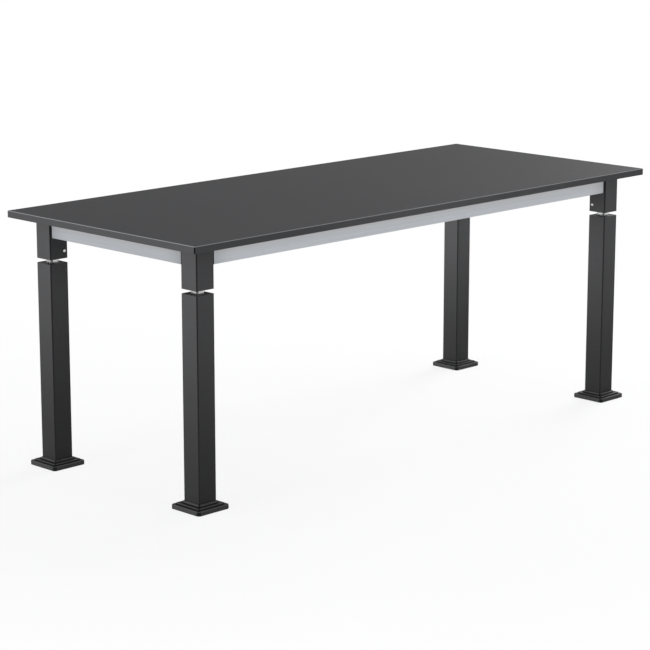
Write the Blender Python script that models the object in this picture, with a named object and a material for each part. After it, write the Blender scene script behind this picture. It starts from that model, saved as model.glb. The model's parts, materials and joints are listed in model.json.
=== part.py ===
"""A laboratory table: a resin worktop on an aluminium rail frame and four levelling legs.

The frame is metres, +Z up, with the origin on the floor under the middle of the worktop.
+X runs along the worktop's length. The front is the long side at -Y, the left end is at -X.
Each leg is a short head tube fixed to the rails and a long tube that moves up and down on a
jack screw. The screw turns in a block inside the head and runs in a plate in the tube's mouth.
"""

import math

import bmesh
import bpy
from mathutils import Matrix

# Clearances between neighbouring pieces
SEAT_GAP = 0.0003
BORE_GAP = 0.0003

# Worktop
TOP_LENGTH = 1.829
TOP_WIDTH = 0.762
TOP_THICKNESS = 0.019
TOP_HEIGHT = 0.716
TOP_CORNER_RADIUS = 0.003
TOP_CHAMFER = 0.0015
OVERHANG = 0.0545

# Leg heads and leg tubes, cut from the same square tube
LEG_SIDE = 0.060
LEG_WALL = 0.0025
LEG_CORNER_RADIUS = 0.003
HEAD_LENGTH = 0.1115
LEG_GAP = 0.0122
LEAST_RADIUS = 0.0004

# Rails: a web with a top flange, a bottom lip and a thick port for the end bolts
RAIL_DEPTH = 0.0495
RAIL_WALL = 0.003
RAIL_FLANGE = 0.030
RAIL_LIP = 0.012
RAIL_SETBACK = 0.0040
PORT_DEPTH = 0.012
PORT_HEIGHT = 0.015

# Bearing blocks in the heads and nut plates in the tubes
BLOCK_HEIGHT = 0.034
NUT_HEIGHT = 0.022
NUT_RECESS = 0.0015

# Jack screws
JOURNAL_RADIUS = 0.008
JOURNAL_RISE = 0.0045
GROOVE_RADIUS = 0.007
COLLAR_FLATS = 0.0294
COLLAR_TURNED_RADIUS = 0.0172
COLLAR_HEIGHT = 0.0112
THREAD_RADIUS = 0.012
THREAD_ROOT_RADIUS = 0.00925
THREAD_PITCH = 0.005
THREAD_LENGTH = 0.070
POINT_RADIUS = 0.0085
POINT_LENGTH = 0.003

# Retaining rings on the journals
RING_RADIUS = 0.0115
RING_THICKNESS = 0.0015
RING_MOUTH = math.radians(50)

# Feet: three square steps around a socket
FOOT_FLOOR = 0.006
FOOT_BASE_HEIGHT = 0.012
FOOT_MIDDLE_HEIGHT = 0.0042
FOOT_UPPER_HEIGHT = 0.0058
FOOT_BASE_LEDGE = 0.0095
FOOT_MIDDLE_LEDGE = 0.0105
FOOT_LIP = 0.005
FOOT_LIP_LAND = 0.0012
FOOT_SLOPE = 0.0028
FOOT_BASE_RADIUS = 0.009
FOOT_STEP_RADIUS = 0.004
FOOT_EDGE = 0.0018

# Screws through the heads' inward faces into the bearing blocks
HEAD_SCREW_RADIUS = 0.003
HEAD_SCREW_LENGTH = 0.0075
HEAD_SCREW_HEAD_RADIUS = 0.0044
HEAD_SCREW_CROWN_RADIUS = 0.0030
HEAD_SCREW_HEAD_HEIGHT = 0.0026
HEAD_SCREW_SOCKET = 0.0035
HEAD_SCREW_SOCKET_DEPTH = 0.0017
HEAD_SCREW_INSET = 0.0475
HEAD_SCREW_RISE = 0.0215

# Bolts from inside the heads into the rails' ports
BOLT_RADIUS = 0.004
BOLT_LENGTH = 0.030
BOLT_HEAD_RADIUS = 0.0065
BOLT_CROWN_RADIUS = 0.0060
BOLT_HEAD_HEIGHT = 0.008
BOLT_SOCKET = 0.006
BOLT_SOCKET_DEPTH = 0.004

# Screws through the rails' top flanges into the worktop
TOP_SCREW_RADIUS = 0.0025
TOP_SCREW_LENGTH = 0.014
TOP_SCREW_HEAD_RADIUS = 0.005
TOP_SCREW_CROWN_RADIUS = 0.0036
TOP_SCREW_HEAD_HEIGHT = 0.003
TOP_SCREW_SOCKET = 0.003
TOP_SCREW_SOCKET_DEPTH = 0.0016
TOP_SCREW_INSET = 0.022
TOP_SCREW_END_DISTANCE = 0.140
TOP_SCREWS_ON_LONG_RAIL = 3
TOP_SCREWS_ON_SHORT_RAIL = 1

# Sides of the flat-sided shapes and facets of the round ones
SOCKET_SIDES = 6
COLLAR_SIDES = 4
CORNER_STEPS = 3
FASTENER_STEPS = 12
SCREW_STEPS = 24
THREAD_STEPS = 12
BORE_STEPS = 24
RING_STEPS = 12
SMOOTH_BELOW = math.radians(35)

# Places worked out from the sizes above
LEG_X = TOP_LENGTH / 2 - OVERHANG - LEG_SIDE / 2
LEG_Y = TOP_WIDTH / 2 - OVERHANG - LEG_SIDE / 2
TOP_UNDERSIDE = TOP_HEIGHT - TOP_THICKNESS
FRAME_TOP = TOP_UNDERSIDE - SEAT_GAP
HEAD_BOTTOM = FRAME_TOP - HEAD_LENGTH
TUBE_TOP = HEAD_BOTTOM - LEG_GAP
TUBE_BOTTOM = FOOT_FLOOR + SEAT_GAP
BORE_SIDE = LEG_SIDE - 2 * LEG_WALL
BORE_CORNER_RADIUS = max(LEG_CORNER_RADIUS - LEG_WALL, LEAST_RADIUS)
INSERT_SIDE = BORE_SIDE - 2 * SEAT_GAP
BLOCK_TOP = HEAD_BOTTOM + BLOCK_HEIGHT
RAIL_PLANE_X = LEG_X + LEG_SIDE / 2 - RAIL_SETBACK
RAIL_PLANE_Y = LEG_Y + LEG_SIDE / 2 - RAIL_SETBACK
LONG_RAIL_LENGTH = 2 * (LEG_X - LEG_SIDE / 2 - SEAT_GAP)
SHORT_RAIL_LENGTH = 2 * (LEG_Y - LEG_SIDE / 2 - SEAT_GAP)
PORT_INSET = (RAIL_WALL + PORT_DEPTH) / 2
PORT_DROP = RAIL_DEPTH / 2
BOLT_OFFSET = LEG_SIDE / 2 - RAIL_SETBACK - PORT_INSET
HEAD_SCREW_OFFSET = LEG_SIDE / 2 - HEAD_SCREW_INSET
QUARTER = math.pi / 2

# Name, side along X, side along Y, and the rails that meet the head's two inward faces.
# The order is one quarter turn from each corner to the next.
CORNERS = (
    ("back_right", 1, 1, ("back", "right")),
    ("back_left", -1, 1, ("left", "back")),
    ("front_left", -1, -1, ("front", "left")),
    ("front_right", 1, -1, ("right", "front")),
)

# Name, quarter turns from the front, distance of the outer face from the middle
RAILS = (
    ("front", 0, RAIL_PLANE_Y),
    ("right", 1, RAIL_PLANE_X),
    ("back", 2, RAIL_PLANE_Y),
    ("left", 3, RAIL_PLANE_X),
)

# Base colour, roughness and metallic value of each finish
FINISHES = {
    "black_resin": ((0.0455, 0.0455, 0.0475), 0.60, 0.0),
    "black_powder_coat": ((0.074, 0.074, 0.076), 0.50, 0.0),
    "brushed_aluminium": ((0.434, 0.448, 0.472), 0.36, 1.0),
    "zinc_plate": ((0.76, 0.76, 0.75), 0.35, 1.0),
    "plain_steel": ((0.42, 0.42, 0.43), 0.38, 1.0),
    "black_rubber": ((0.0462, 0.0462, 0.0474), 0.66, 0.0),
}


def clear_scene():
    """Remove every object, so that the table is all that is left."""
    for leftover in list(bpy.data.objects):
        bpy.data.objects.remove(leftover, do_unlink=True)


def make_finish(name):
    """Make the Principled material of one finish."""
    colour, roughness, metallic = FINISHES[name]
    material = bpy.data.materials.new(name)
    material.use_nodes = True
    shader = material.node_tree.nodes["Principled BSDF"]
    shader.inputs["Base Color"].default_value = (*colour, 1.0)
    shader.inputs["Roughness"].default_value = roughness
    shader.inputs["Metallic"].default_value = metallic
    return material


def rounded_rectangle(length, width, radius):
    """Corner arcs of a rectangle, counter-clockwise, as (x, y) points."""
    points = []
    signs = ((1, 1), (-1, 1), (-1, -1), (1, -1))
    for quarter, (side_x, side_y) in enumerate(signs):
        for step in range(CORNER_STEPS + 1):
            angle = QUARTER * (quarter + step / CORNER_STEPS)
            x = side_x * (length / 2 - radius) + radius * math.cos(angle)
            y = side_y * (width / 2 - radius) + radius * math.sin(angle)
            points.append((x, y))
    return points


def rounded_square(side, radius):
    """Corner arcs of a square as (x, y) points."""
    return rounded_rectangle(side, side, radius)


def circle(radius, steps):
    """Points of a circle, counter-clockwise from +X."""
    angles = [2 * math.pi * step / steps for step in range(steps)]
    return [(radius * math.cos(angle), radius * math.sin(angle)) for angle in angles]


def polygon(sides, flats, steps, turned_radius=math.inf):
    """Points along an even polygon that has a flat towards +X, counter-clockwise from +X.

    Its corners are turned off at a radius where one is given.
    """
    sector = 2 * math.pi / sides
    points = []
    for step in range(steps):
        angle = 2 * math.pi * step / steps
        from_flat = (angle + sector / 2) % sector - sector / 2
        radius = min(flats / 2 / math.cos(from_flat), turned_radius)
        points.append((radius * math.cos(angle), radius * math.sin(angle)))
    return points


def at_height(points, height):
    """Lift flat points to one height."""
    return [(x, y, height) for x, y in points]


def loft(rings, closed=False):
    """Skin a stack of rings with equal point counts.

    An open stack gets a cap at each end. A closed one joins its last ring to its first,
    which makes a tube with a wall.
    """
    shape = bmesh.new()
    loops = [[shape.verts.new(point) for point in ring] for ring in rings]
    pairs = list(zip(loops, loops[1:]))
    if closed:
        pairs.append((loops[-1], loops[0]))
    else:
        shape.faces.new(list(reversed(loops[0])))
        shape.faces.new(loops[-1])
    for lower, upper in pairs:
        for index in range(len(lower)):
            after = (index + 1) % len(lower)
            shape.faces.new((lower[index], lower[after], upper[after], upper[index]))
    return shape


def to_mesh(shape, name, finish=None):
    """Turn a bmesh into a mesh with outward faces and its finish."""
    bmesh.ops.recalc_face_normals(shape, faces=shape.faces)
    mesh = bpy.data.meshes.new(name)
    shape.to_mesh(mesh)
    shape.free()
    return dress(mesh, finish)


def dress(mesh, finish):
    """Shade a mesh smooth below the sharp angle and give it its finish."""
    mesh.shade_smooth()
    mesh.set_sharp_from_angle(angle=SMOOTH_BELOW)
    mesh.materials.clear()
    if finish:
        mesh.materials.append(finish)
    return mesh


def rod(radius, steps, start, end):
    """A plain round rod along Z, as a bmesh."""
    outline = circle(radius, steps)
    return loft((at_height(outline, start), at_height(outline, end)))


def turned(shape, axis, angle, offset):
    """Turn a bmesh about an axis and then move it."""
    bmesh.ops.rotate(shape, verts=shape.verts, matrix=Matrix.Rotation(angle, 3, axis))
    bmesh.ops.translate(shape, verts=shape.verts, vec=offset)
    return shape


def combine(mesh, others, operation):
    """Apply one Boolean for each of the other meshes and return the result."""
    scene = bpy.context.scene.collection
    target = bpy.data.objects.new("target", mesh)
    scene.objects.link(target)
    helpers = []
    for other in others:
        helper = bpy.data.objects.new("helper", other)
        scene.objects.link(helper)
        helpers.append(helper)
        modifier = target.modifiers.new("combine", "BOOLEAN")
        modifier.operation = operation
        modifier.solver = "EXACT"
        modifier.object = helper
    evaluated = target.evaluated_get(bpy.context.evaluated_depsgraph_get())
    result = bpy.data.meshes.new_from_object(evaluated)
    for leftover in (target, *helpers):
        bpy.data.objects.remove(leftover, do_unlink=True)
    result.name = mesh.name
    return result


def cut(mesh, shapes):
    """Cut bmesh shapes out of a mesh, keeping its finish."""
    finish = mesh.materials[0]
    tools = [to_mesh(shape, "tool") for shape in shapes]
    return dress(combine(mesh, tools, "DIFFERENCE"), finish)


def add_axis(name, location, turns):
    """Add an empty that carries the pieces of one corner or one rail."""
    axis = bpy.data.objects.new(name, None)
    axis.location = location
    axis.rotation_euler = (0, 0, turns * QUARTER)
    bpy.context.scene.collection.objects.link(axis)
    return axis


def add_piece(name, mesh, parent=None, location=(0, 0, 0), rotation=(0, 0, 0)):
    """Add one named piece."""
    piece = bpy.data.objects.new(name, mesh)
    piece.parent = parent
    piece.location = location
    piece.rotation_euler = rotation
    bpy.context.scene.collection.objects.link(piece)
    return piece


def cap_screw(name, sizes, finish):
    """A screw that points down from z = 0, with a crowned head and a hexagon socket."""
    radius, length, head_radius, crown_radius, head_height, socket, socket_depth = sizes
    shank = circle(radius, FASTENER_STEPS)
    rim = circle(head_radius, FASTENER_STEPS)
    crown = circle(crown_radius, FASTENER_STEPS)
    key = polygon(SOCKET_SIDES, socket, FASTENER_STEPS)
    rings = (
        at_height(shank, -length),
        at_height(shank, 0),
        at_height(rim, 0),
        at_height(rim, head_height / 2),
        at_height(crown, head_height),
        at_height(key, head_height),
        at_height(key, head_height - socket_depth),
    )
    return to_mesh(loft(rings), name, finish)


def head_screw_mesh(finish):
    """Button-head screw that fixes a bearing block."""
    sizes = (
        HEAD_SCREW_RADIUS, HEAD_SCREW_LENGTH, HEAD_SCREW_HEAD_RADIUS, HEAD_SCREW_CROWN_RADIUS,
        HEAD_SCREW_HEAD_HEIGHT, HEAD_SCREW_SOCKET, HEAD_SCREW_SOCKET_DEPTH,
    )
    return cap_screw("head_screw", sizes, finish)


def rail_bolt_mesh(finish):
    """Cap bolt that draws a rail's end to a head."""
    sizes = (
        BOLT_RADIUS, BOLT_LENGTH, BOLT_HEAD_RADIUS, BOLT_CROWN_RADIUS,
        BOLT_HEAD_HEIGHT, BOLT_SOCKET, BOLT_SOCKET_DEPTH,
    )
    return cap_screw("rail_bolt", sizes, finish)


def top_screw_mesh(finish):
    """Pan-head screw that holds the worktop down."""
    sizes = (
        TOP_SCREW_RADIUS, TOP_SCREW_LENGTH, TOP_SCREW_HEAD_RADIUS, TOP_SCREW_CROWN_RADIUS,
        TOP_SCREW_HEAD_HEIGHT, TOP_SCREW_SOCKET, TOP_SCREW_SOCKET_DEPTH,
    )
    return cap_screw("top_screw", sizes, finish)


def top_screw_stations(name):
    """Places of a rail's worktop screws along its length."""
    if name in ("front", "back"):
        length, count = LONG_RAIL_LENGTH, TOP_SCREWS_ON_LONG_RAIL
    else:
        length, count = SHORT_RAIL_LENGTH, TOP_SCREWS_ON_SHORT_RAIL
    if count == 1:
        return [0.0]
    reach = length / 2 - TOP_SCREW_END_DISTANCE
    return [reach * (2 * index / (count - 1) - 1) for index in range(count)]


def worktop_mesh(finish):
    """The slab, chamfered above and below, with blind holes for its screws."""
    face = rounded_rectangle(TOP_LENGTH, TOP_WIDTH, TOP_CORNER_RADIUS)
    inner_radius = max(TOP_CORNER_RADIUS - TOP_CHAMFER, LEAST_RADIUS)
    edge = rounded_rectangle(TOP_LENGTH - 2 * TOP_CHAMFER, TOP_WIDTH - 2 * TOP_CHAMFER, inner_radius)
    rings = (
        at_height(edge, TOP_UNDERSIDE),
        at_height(face, TOP_UNDERSIDE + TOP_CHAMFER),
        at_height(face, TOP_HEIGHT - TOP_CHAMFER),
        at_height(edge, TOP_HEIGHT),
    )
    slab = to_mesh(loft(rings), "worktop", finish)
    tip = FRAME_TOP - RAIL_WALL - SEAT_GAP + TOP_SCREW_LENGTH
    holes = []
    for name, turns, plane in RAILS:
        for station in top_screw_stations(name):
            hole = rod(TOP_SCREW_RADIUS + BORE_GAP, FASTENER_STEPS, FRAME_TOP, tip + SEAT_GAP)
            bmesh.ops.translate(hole, verts=hole.verts, vec=(station, TOP_SCREW_INSET - plane, 0))
            holes.append(turned(hole, "Z", turns * QUARTER, (0, 0, 0)))
    return cut(slab, holes)


def rail_mesh(name, length, finish):
    """One rail along X, its outer face at y = 0 and its top at z = 0."""
    port_top = PORT_HEIGHT / 2 - PORT_DROP
    port_bottom = -PORT_HEIGHT / 2 - PORT_DROP
    port_face = RAIL_WALL + PORT_DEPTH
    profile = (
        (0, 0),
        (0, -RAIL_DEPTH),
        (RAIL_LIP, -RAIL_DEPTH),
        (RAIL_LIP, RAIL_WALL - RAIL_DEPTH),
        (RAIL_WALL, RAIL_WALL - RAIL_DEPTH),
        (RAIL_WALL, port_bottom),
        (port_face, port_bottom),
        (port_face, port_top),
        (RAIL_WALL, port_top),
        (RAIL_WALL, -RAIL_WALL),
        (RAIL_FLANGE, -RAIL_WALL),
        (RAIL_FLANGE, 0),
    )
    rings = [[(end, y, z) for y, z in profile] for end in (-length / 2, length / 2)]
    bar = to_mesh(loft(rings), f"{name}_rail", finish)
    reach = length / 2 + RAIL_WALL
    bore = rod(BOLT_RADIUS + BORE_GAP, FASTENER_STEPS, -reach, reach)
    holes = [turned(bore, "Y", QUARTER, (0, PORT_INSET, -PORT_DROP))]
    for station in top_screw_stations(name):
        hole = rod(TOP_SCREW_RADIUS + BORE_GAP, FASTENER_STEPS, -2 * RAIL_WALL, RAIL_WALL)
        bmesh.ops.translate(hole, verts=hole.verts, vec=(station, TOP_SCREW_INSET, 0))
        holes.append(hole)
    return cut(bar, holes)


def square_tube(name, start, end, finish):
    """A length of the legs' square tube along Z."""
    outer = rounded_square(LEG_SIDE, LEG_CORNER_RADIUS)
    inner = rounded_square(BORE_SIDE, BORE_CORNER_RADIUS)
    rings = (
        at_height(outer, start),
        at_height(outer, end),
        at_height(inner, end),
        at_height(inner, start),
    )
    return to_mesh(loft(rings, closed=True), name, finish)


def inward_holes(radius, offset, height, depth):
    """Holes from outside into a head's two inward faces, which look along -X and -Y."""
    start = -LEG_SIDE / 2 - LEG_WALL
    along_x = turned(rod(radius, FASTENER_STEPS, start, depth), "Y", QUARTER, (0, offset, height))
    along_y = turned(rod(radius, FASTENER_STEPS, start, depth), "X", -QUARTER, (offset, 0, height))
    return [along_x, along_y]


def head_mesh(finish):
    """Head tube with holes for its rail bolts and its block screws."""
    tube = square_tube("leg_head", HEAD_BOTTOM, FRAME_TOP, finish)
    through_wall = -BORE_SIDE / 2 + LEG_WALL
    bolt_holes = inward_holes(
        BOLT_RADIUS + BORE_GAP, BOLT_OFFSET, FRAME_TOP - PORT_DROP, through_wall)
    screw_holes = inward_holes(
        HEAD_SCREW_RADIUS + BORE_GAP, HEAD_SCREW_OFFSET, HEAD_BOTTOM + HEAD_SCREW_RISE, through_wall)
    return cut(tube, bolt_holes + screw_holes)


def insert_mesh(name, bottom, height, finish):
    """A square block that fits inside the legs' tube."""
    outline = rounded_square(INSERT_SIDE, BORE_CORNER_RADIUS)
    rings = (at_height(outline, bottom), at_height(outline, bottom + height))
    return to_mesh(loft(rings), name, finish)


def bearing_block_mesh(finish):
    """Block in the head's lower end, bored for the journal and drilled for its screws."""
    block = insert_mesh("bearing_block", HEAD_BOTTOM, BLOCK_HEIGHT, finish)
    bore = rod(JOURNAL_RADIUS + BORE_GAP, BORE_STEPS, HEAD_BOTTOM - SEAT_GAP, BLOCK_TOP + SEAT_GAP)
    tip = -LEG_SIDE / 2 - SEAT_GAP + HEAD_SCREW_LENGTH
    screw_holes = inward_holes(
        HEAD_SCREW_RADIUS + BORE_GAP, HEAD_SCREW_OFFSET, HEAD_BOTTOM + HEAD_SCREW_RISE,
        tip + SEAT_GAP)
    return cut(block, [bore] + screw_holes)


def nut_plate_mesh(finish):
    """Plate that closes the tube's mouth, bored to clear the jack screw's crests."""
    bottom = TUBE_TOP - NUT_RECESS - NUT_HEIGHT
    plate = insert_mesh("nut_plate", bottom, NUT_HEIGHT, finish)
    bore = rod(
        THREAD_RADIUS + BORE_GAP, BORE_STEPS, bottom - SEAT_GAP, bottom + NUT_HEIGHT + SEAT_GAP)
    return cut(plate, [bore])


def thread_shape(bottom, top):
    """A closed right-hand V thread along Z, with a fan of faces at each end."""
    shape = bmesh.new()
    count = round(THREAD_STEPS * (top - bottom) / THREAD_PITCH)
    roots = []
    crests = []
    for index in range(count + THREAD_STEPS + 1):
        angle = 2 * math.pi * index / THREAD_STEPS
        height = bottom + THREAD_PITCH * index / THREAD_STEPS
        across = (math.cos(angle), math.sin(angle))
        root = [THREAD_ROOT_RADIUS * part for part in across]
        roots.append(shape.verts.new((*root, height)))
        if index <= count:
            crest = [THREAD_RADIUS * part for part in across]
            crests.append(shape.verts.new((*crest, height + THREAD_PITCH / 2)))
    for index in range(count):
        above = index + THREAD_STEPS
        shape.faces.new((roots[index], roots[index + 1], crests[index + 1], crests[index]))
        shape.faces.new((crests[index], crests[index + 1], roots[above + 1], roots[above]))
    for start in (0, count):
        rim = roots[start:start + THREAD_STEPS + 1] + [crests[start]]
        hub = shape.verts.new((0, 0, roots[start].co.z))
        for index, point in enumerate(rim):
            shape.faces.new((hub, point, rim[index - 1]))
    return shape


def jack_screw_mesh(finish):
    """Journal with a ring groove, square collar with turned corners, thread and plain point."""
    collar_top = HEAD_BOTTOM - SEAT_GAP
    collar_bottom = collar_top - COLLAR_HEIGHT
    thread_bottom = collar_bottom - THREAD_LENGTH
    groove_top = BLOCK_TOP + RING_THICKNESS + 2 * SEAT_GAP
    journal = circle(JOURNAL_RADIUS, SCREW_STEPS)
    groove = circle(GROOVE_RADIUS, SCREW_STEPS)
    collar = polygon(COLLAR_SIDES, COLLAR_FLATS, SCREW_STEPS, COLLAR_TURNED_RADIUS)
    point = circle(POINT_RADIUS, SCREW_STEPS)
    rings = (
        at_height(point, thread_bottom - POINT_LENGTH),
        at_height(point, collar_bottom),
        at_height(collar, collar_bottom),
        at_height(collar, collar_top),
        at_height(journal, collar_top),
        at_height(journal, BLOCK_TOP),
        at_height(groove, BLOCK_TOP),
        at_height(groove, groove_top),
        at_height(journal, groove_top),
        at_height(journal, BLOCK_TOP + JOURNAL_RISE),
    )
    body = to_mesh(loft(rings), "jack_screw", finish)
    thread = to_mesh(thread_shape(thread_bottom, collar_top - THREAD_PITCH), "thread")
    return dress(combine(body, [thread], "UNION"), finish)


def retaining_ring_mesh(finish):
    """Open ring that sits in the journal's groove above the block."""
    inner = GROOVE_RADIUS + BORE_GAP
    low = BLOCK_TOP + SEAT_GAP
    high = low + RING_THICKNESS
    rings = []
    for step in range(RING_STEPS + 1):
        angle = RING_MOUTH / 2 + (2 * math.pi - RING_MOUTH) * step / RING_STEPS
        across = ((inner, low), (RING_RADIUS, low), (RING_RADIUS, high), (inner, high))
        rings.append([(r * math.cos(angle), r * math.sin(angle), z) for r, z in across])
    return to_mesh(loft(rings), "retaining_ring", finish)


def foot_mesh(finish):
    """Stepped square boot with a socket for the tube's lower end."""
    upper_side = LEG_SIDE + 2 * FOOT_LIP
    middle_side = upper_side + 2 * FOOT_MIDDLE_LEDGE
    base_side = middle_side + 2 * FOOT_BASE_LEDGE
    middle_top = FOOT_BASE_HEIGHT + FOOT_MIDDLE_HEIGHT
    top = middle_top + FOOT_UPPER_HEIGHT
    socket_side = LEG_SIDE + 2 * BORE_GAP
    land_side = socket_side + 2 * FOOT_LIP_LAND
    base = rounded_square(base_side, FOOT_BASE_RADIUS)
    base_edge = rounded_square(base_side - 2 * FOOT_EDGE, FOOT_BASE_RADIUS - FOOT_EDGE)
    middle = rounded_square(middle_side, FOOT_STEP_RADIUS)
    upper = rounded_square(upper_side, FOOT_STEP_RADIUS)
    land = rounded_square(land_side, LEG_CORNER_RADIUS)
    socket = rounded_square(socket_side, LEG_CORNER_RADIUS)
    rings = (
        at_height(base, 0),
        at_height(base, FOOT_BASE_HEIGHT - FOOT_EDGE),
        at_height(base_edge, FOOT_BASE_HEIGHT),
        at_height(middle, FOOT_BASE_HEIGHT),
        at_height(middle, middle_top),
        at_height(upper, middle_top),
        at_height(upper, top - FOOT_SLOPE),
        at_height(land, top),
        at_height(socket, top),
        at_height(socket, FOOT_FLOOR),
    )
    return to_mesh(loft(rings), "foot", finish)


def build_rails(finishes):
    """The four rails and the screws that hold the worktop to them."""
    long_mesh = rail_mesh("front", LONG_RAIL_LENGTH, finishes["brushed_aluminium"])
    short_mesh = rail_mesh("left", SHORT_RAIL_LENGTH, finishes["brushed_aluminium"])
    screw = top_screw_mesh(finishes["zinc_plate"])
    for name, turns, plane in RAILS:
        mesh = long_mesh if name in ("front", "back") else short_mesh
        angle = turns * QUARTER
        place = (plane * math.sin(angle), -plane * math.cos(angle), FRAME_TOP)
        axis = add_axis(f"{name}_rail_axis", place, turns)
        add_piece(f"{name}_rail", mesh, axis)
        for number, station in enumerate(top_screw_stations(name), 1):
            seat = (station, TOP_SCREW_INSET, -RAIL_WALL - SEAT_GAP)
            add_piece(f"top_screw_{name}_{number}", screw, axis, seat, (math.pi, 0, 0))


def build_corner_fasteners(axis, corner, rails, screw, bolt):
    """Two block screws and two rail bolts of one head."""
    outside = -LEG_SIDE / 2 - SEAT_GAP
    inside = -BORE_SIDE / 2 + SEAT_GAP
    low = HEAD_BOTTOM + HEAD_SCREW_RISE
    high = FRAME_TOP - PORT_DROP
    add_piece(f"head_screw_{corner}_1", screw, axis,
              (outside, HEAD_SCREW_OFFSET, low), (0, -QUARTER, 0))
    add_piece(f"head_screw_{corner}_2", screw, axis,
              (HEAD_SCREW_OFFSET, outside, low), (QUARTER, 0, 0))
    add_piece(f"rail_bolt_{corner}_{rails[0]}", bolt, axis,
              (inside, BOLT_OFFSET, high), (0, QUARTER, 0))
    add_piece(f"rail_bolt_{corner}_{rails[1]}", bolt, axis,
              (BOLT_OFFSET, inside, high), (-QUARTER, 0, 0))


def build_legs(finishes):
    """The four heads with their inserts and fasteners, and the four legs below them."""
    paint = finishes["black_powder_coat"]
    steel = finishes["plain_steel"]
    zinc = finishes["zinc_plate"]
    pieces = {
        "leg_head": head_mesh(paint),
        "bearing_block": bearing_block_mesh(steel),
        "retaining_ring": retaining_ring_mesh(zinc),
        "jack_screw": jack_screw_mesh(zinc),
        "nut_plate": nut_plate_mesh(paint),
        "leg_tube": square_tube("leg_tube", TUBE_BOTTOM, TUBE_TOP, paint),
        "foot": foot_mesh(finishes["black_rubber"]),
    }
    screw = head_screw_mesh(zinc)
    bolt = rail_bolt_mesh(zinc)
    for turns, (corner, side_x, side_y, rails) in enumerate(CORNERS):
        axis = add_axis(f"leg_axis_{corner}", (side_x * LEG_X, side_y * LEG_Y, 0), turns)
        for piece, mesh in pieces.items():
            add_piece(f"{piece}_{corner}", mesh, axis)
        build_corner_fasteners(axis, corner, rails, screw, bolt)


def main():
    """Build the whole table."""
    clear_scene()
    finishes = {name: make_finish(name) for name in FINISHES}
    add_piece("worktop", worktop_mesh(finishes["black_resin"]))
    build_rails(finishes)
    build_legs(finishes)


main()
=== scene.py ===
"""Looks of a laboratory table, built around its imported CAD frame.

Everything is in metres in the frame of the CAD: +Z up, +X along the worktop, the front at -Y.
Each sub-assembly is a class that builds its meshes in the place of the CAD nodes they stand for.
"""

import json
import logging
import math
from collections.abc import Callable, Iterable, Mapping, Sequence
from dataclasses import dataclass
from enum import Enum
from typing import NamedTuple, Union

import bmesh
import bpy
from mathutils import Matrix, Vector

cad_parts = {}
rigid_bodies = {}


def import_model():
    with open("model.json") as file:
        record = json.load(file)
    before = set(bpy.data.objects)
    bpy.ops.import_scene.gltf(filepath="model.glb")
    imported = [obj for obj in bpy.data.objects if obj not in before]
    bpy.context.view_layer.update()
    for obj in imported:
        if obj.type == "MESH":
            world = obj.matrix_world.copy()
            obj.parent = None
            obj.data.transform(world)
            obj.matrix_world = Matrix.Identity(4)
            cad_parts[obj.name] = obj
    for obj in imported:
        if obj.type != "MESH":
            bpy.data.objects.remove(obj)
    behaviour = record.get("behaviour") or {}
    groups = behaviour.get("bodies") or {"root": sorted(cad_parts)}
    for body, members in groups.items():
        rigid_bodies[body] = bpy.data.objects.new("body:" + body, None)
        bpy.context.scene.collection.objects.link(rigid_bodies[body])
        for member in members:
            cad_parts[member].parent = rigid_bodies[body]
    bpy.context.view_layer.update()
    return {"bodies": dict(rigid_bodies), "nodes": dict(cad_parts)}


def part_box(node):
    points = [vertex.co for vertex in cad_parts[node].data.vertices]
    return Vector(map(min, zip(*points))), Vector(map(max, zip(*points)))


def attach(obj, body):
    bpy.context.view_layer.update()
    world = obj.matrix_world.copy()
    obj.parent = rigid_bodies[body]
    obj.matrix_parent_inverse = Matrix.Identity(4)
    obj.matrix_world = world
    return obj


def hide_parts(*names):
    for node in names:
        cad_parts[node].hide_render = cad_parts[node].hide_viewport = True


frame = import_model()

LOG = logging.getLogger("table")
WEAR_AND_SHADE = "wear"
FULL_TURN = 2 * math.pi
QUARTER = math.pi / 2
SMOOTH_BELOW = math.radians(38)
FACE_WEIGHT = 100
LEAST_RADIUS = 0.0003
CORNER_STEPS = 6
HEXAGON = 6
NOISE_MIDDLE = 0.5

Colour = tuple[float, float, float]
Offset = tuple[float, float, float]
Span = tuple[float, float]
Number = Union["Signal", float]


class Slot(Enum):
    """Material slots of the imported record."""

    RESIN = "black_resin"
    PAINT = "black_powder_coat"
    ALUMINIUM = "brushed_aluminium"
    ZINC = "zinc_plate"
    STEEL = "plain_steel"
    RUBBER = "black_rubber"


class Spot(Enum):
    """Places round the table, by their name in the CAD nodes and their quarter turns."""

    @property
    def label(self) -> str:
        """Name of the place in the CAD nodes."""
        return self.value[0]

    @property
    def turn(self) -> Matrix:
        """Turn about +Z from the first of the places to this one."""
        return Matrix.Rotation(self.value[1] * QUARTER, 4, "Z")


class Corner(Spot):
    """Corners of the table, from the back right one."""

    BACK_RIGHT = ("back_right", 0)
    BACK_LEFT = ("back_left", 1)
    FRONT_LEFT = ("front_left", 2)
    FRONT_RIGHT = ("front_right", 3)


class Side(Spot):
    """Sides of the table, from the front."""

    FRONT = ("front", 0)
    RIGHT = ("right", 1)
    BACK = ("back", 2)
    LEFT = ("left", 3)


class Cut(Enum):
    """Ways in which one mesh is combined with others."""

    REMOVE = "DIFFERENCE"
    JOIN = "UNION"


# Shader sheets


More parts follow.
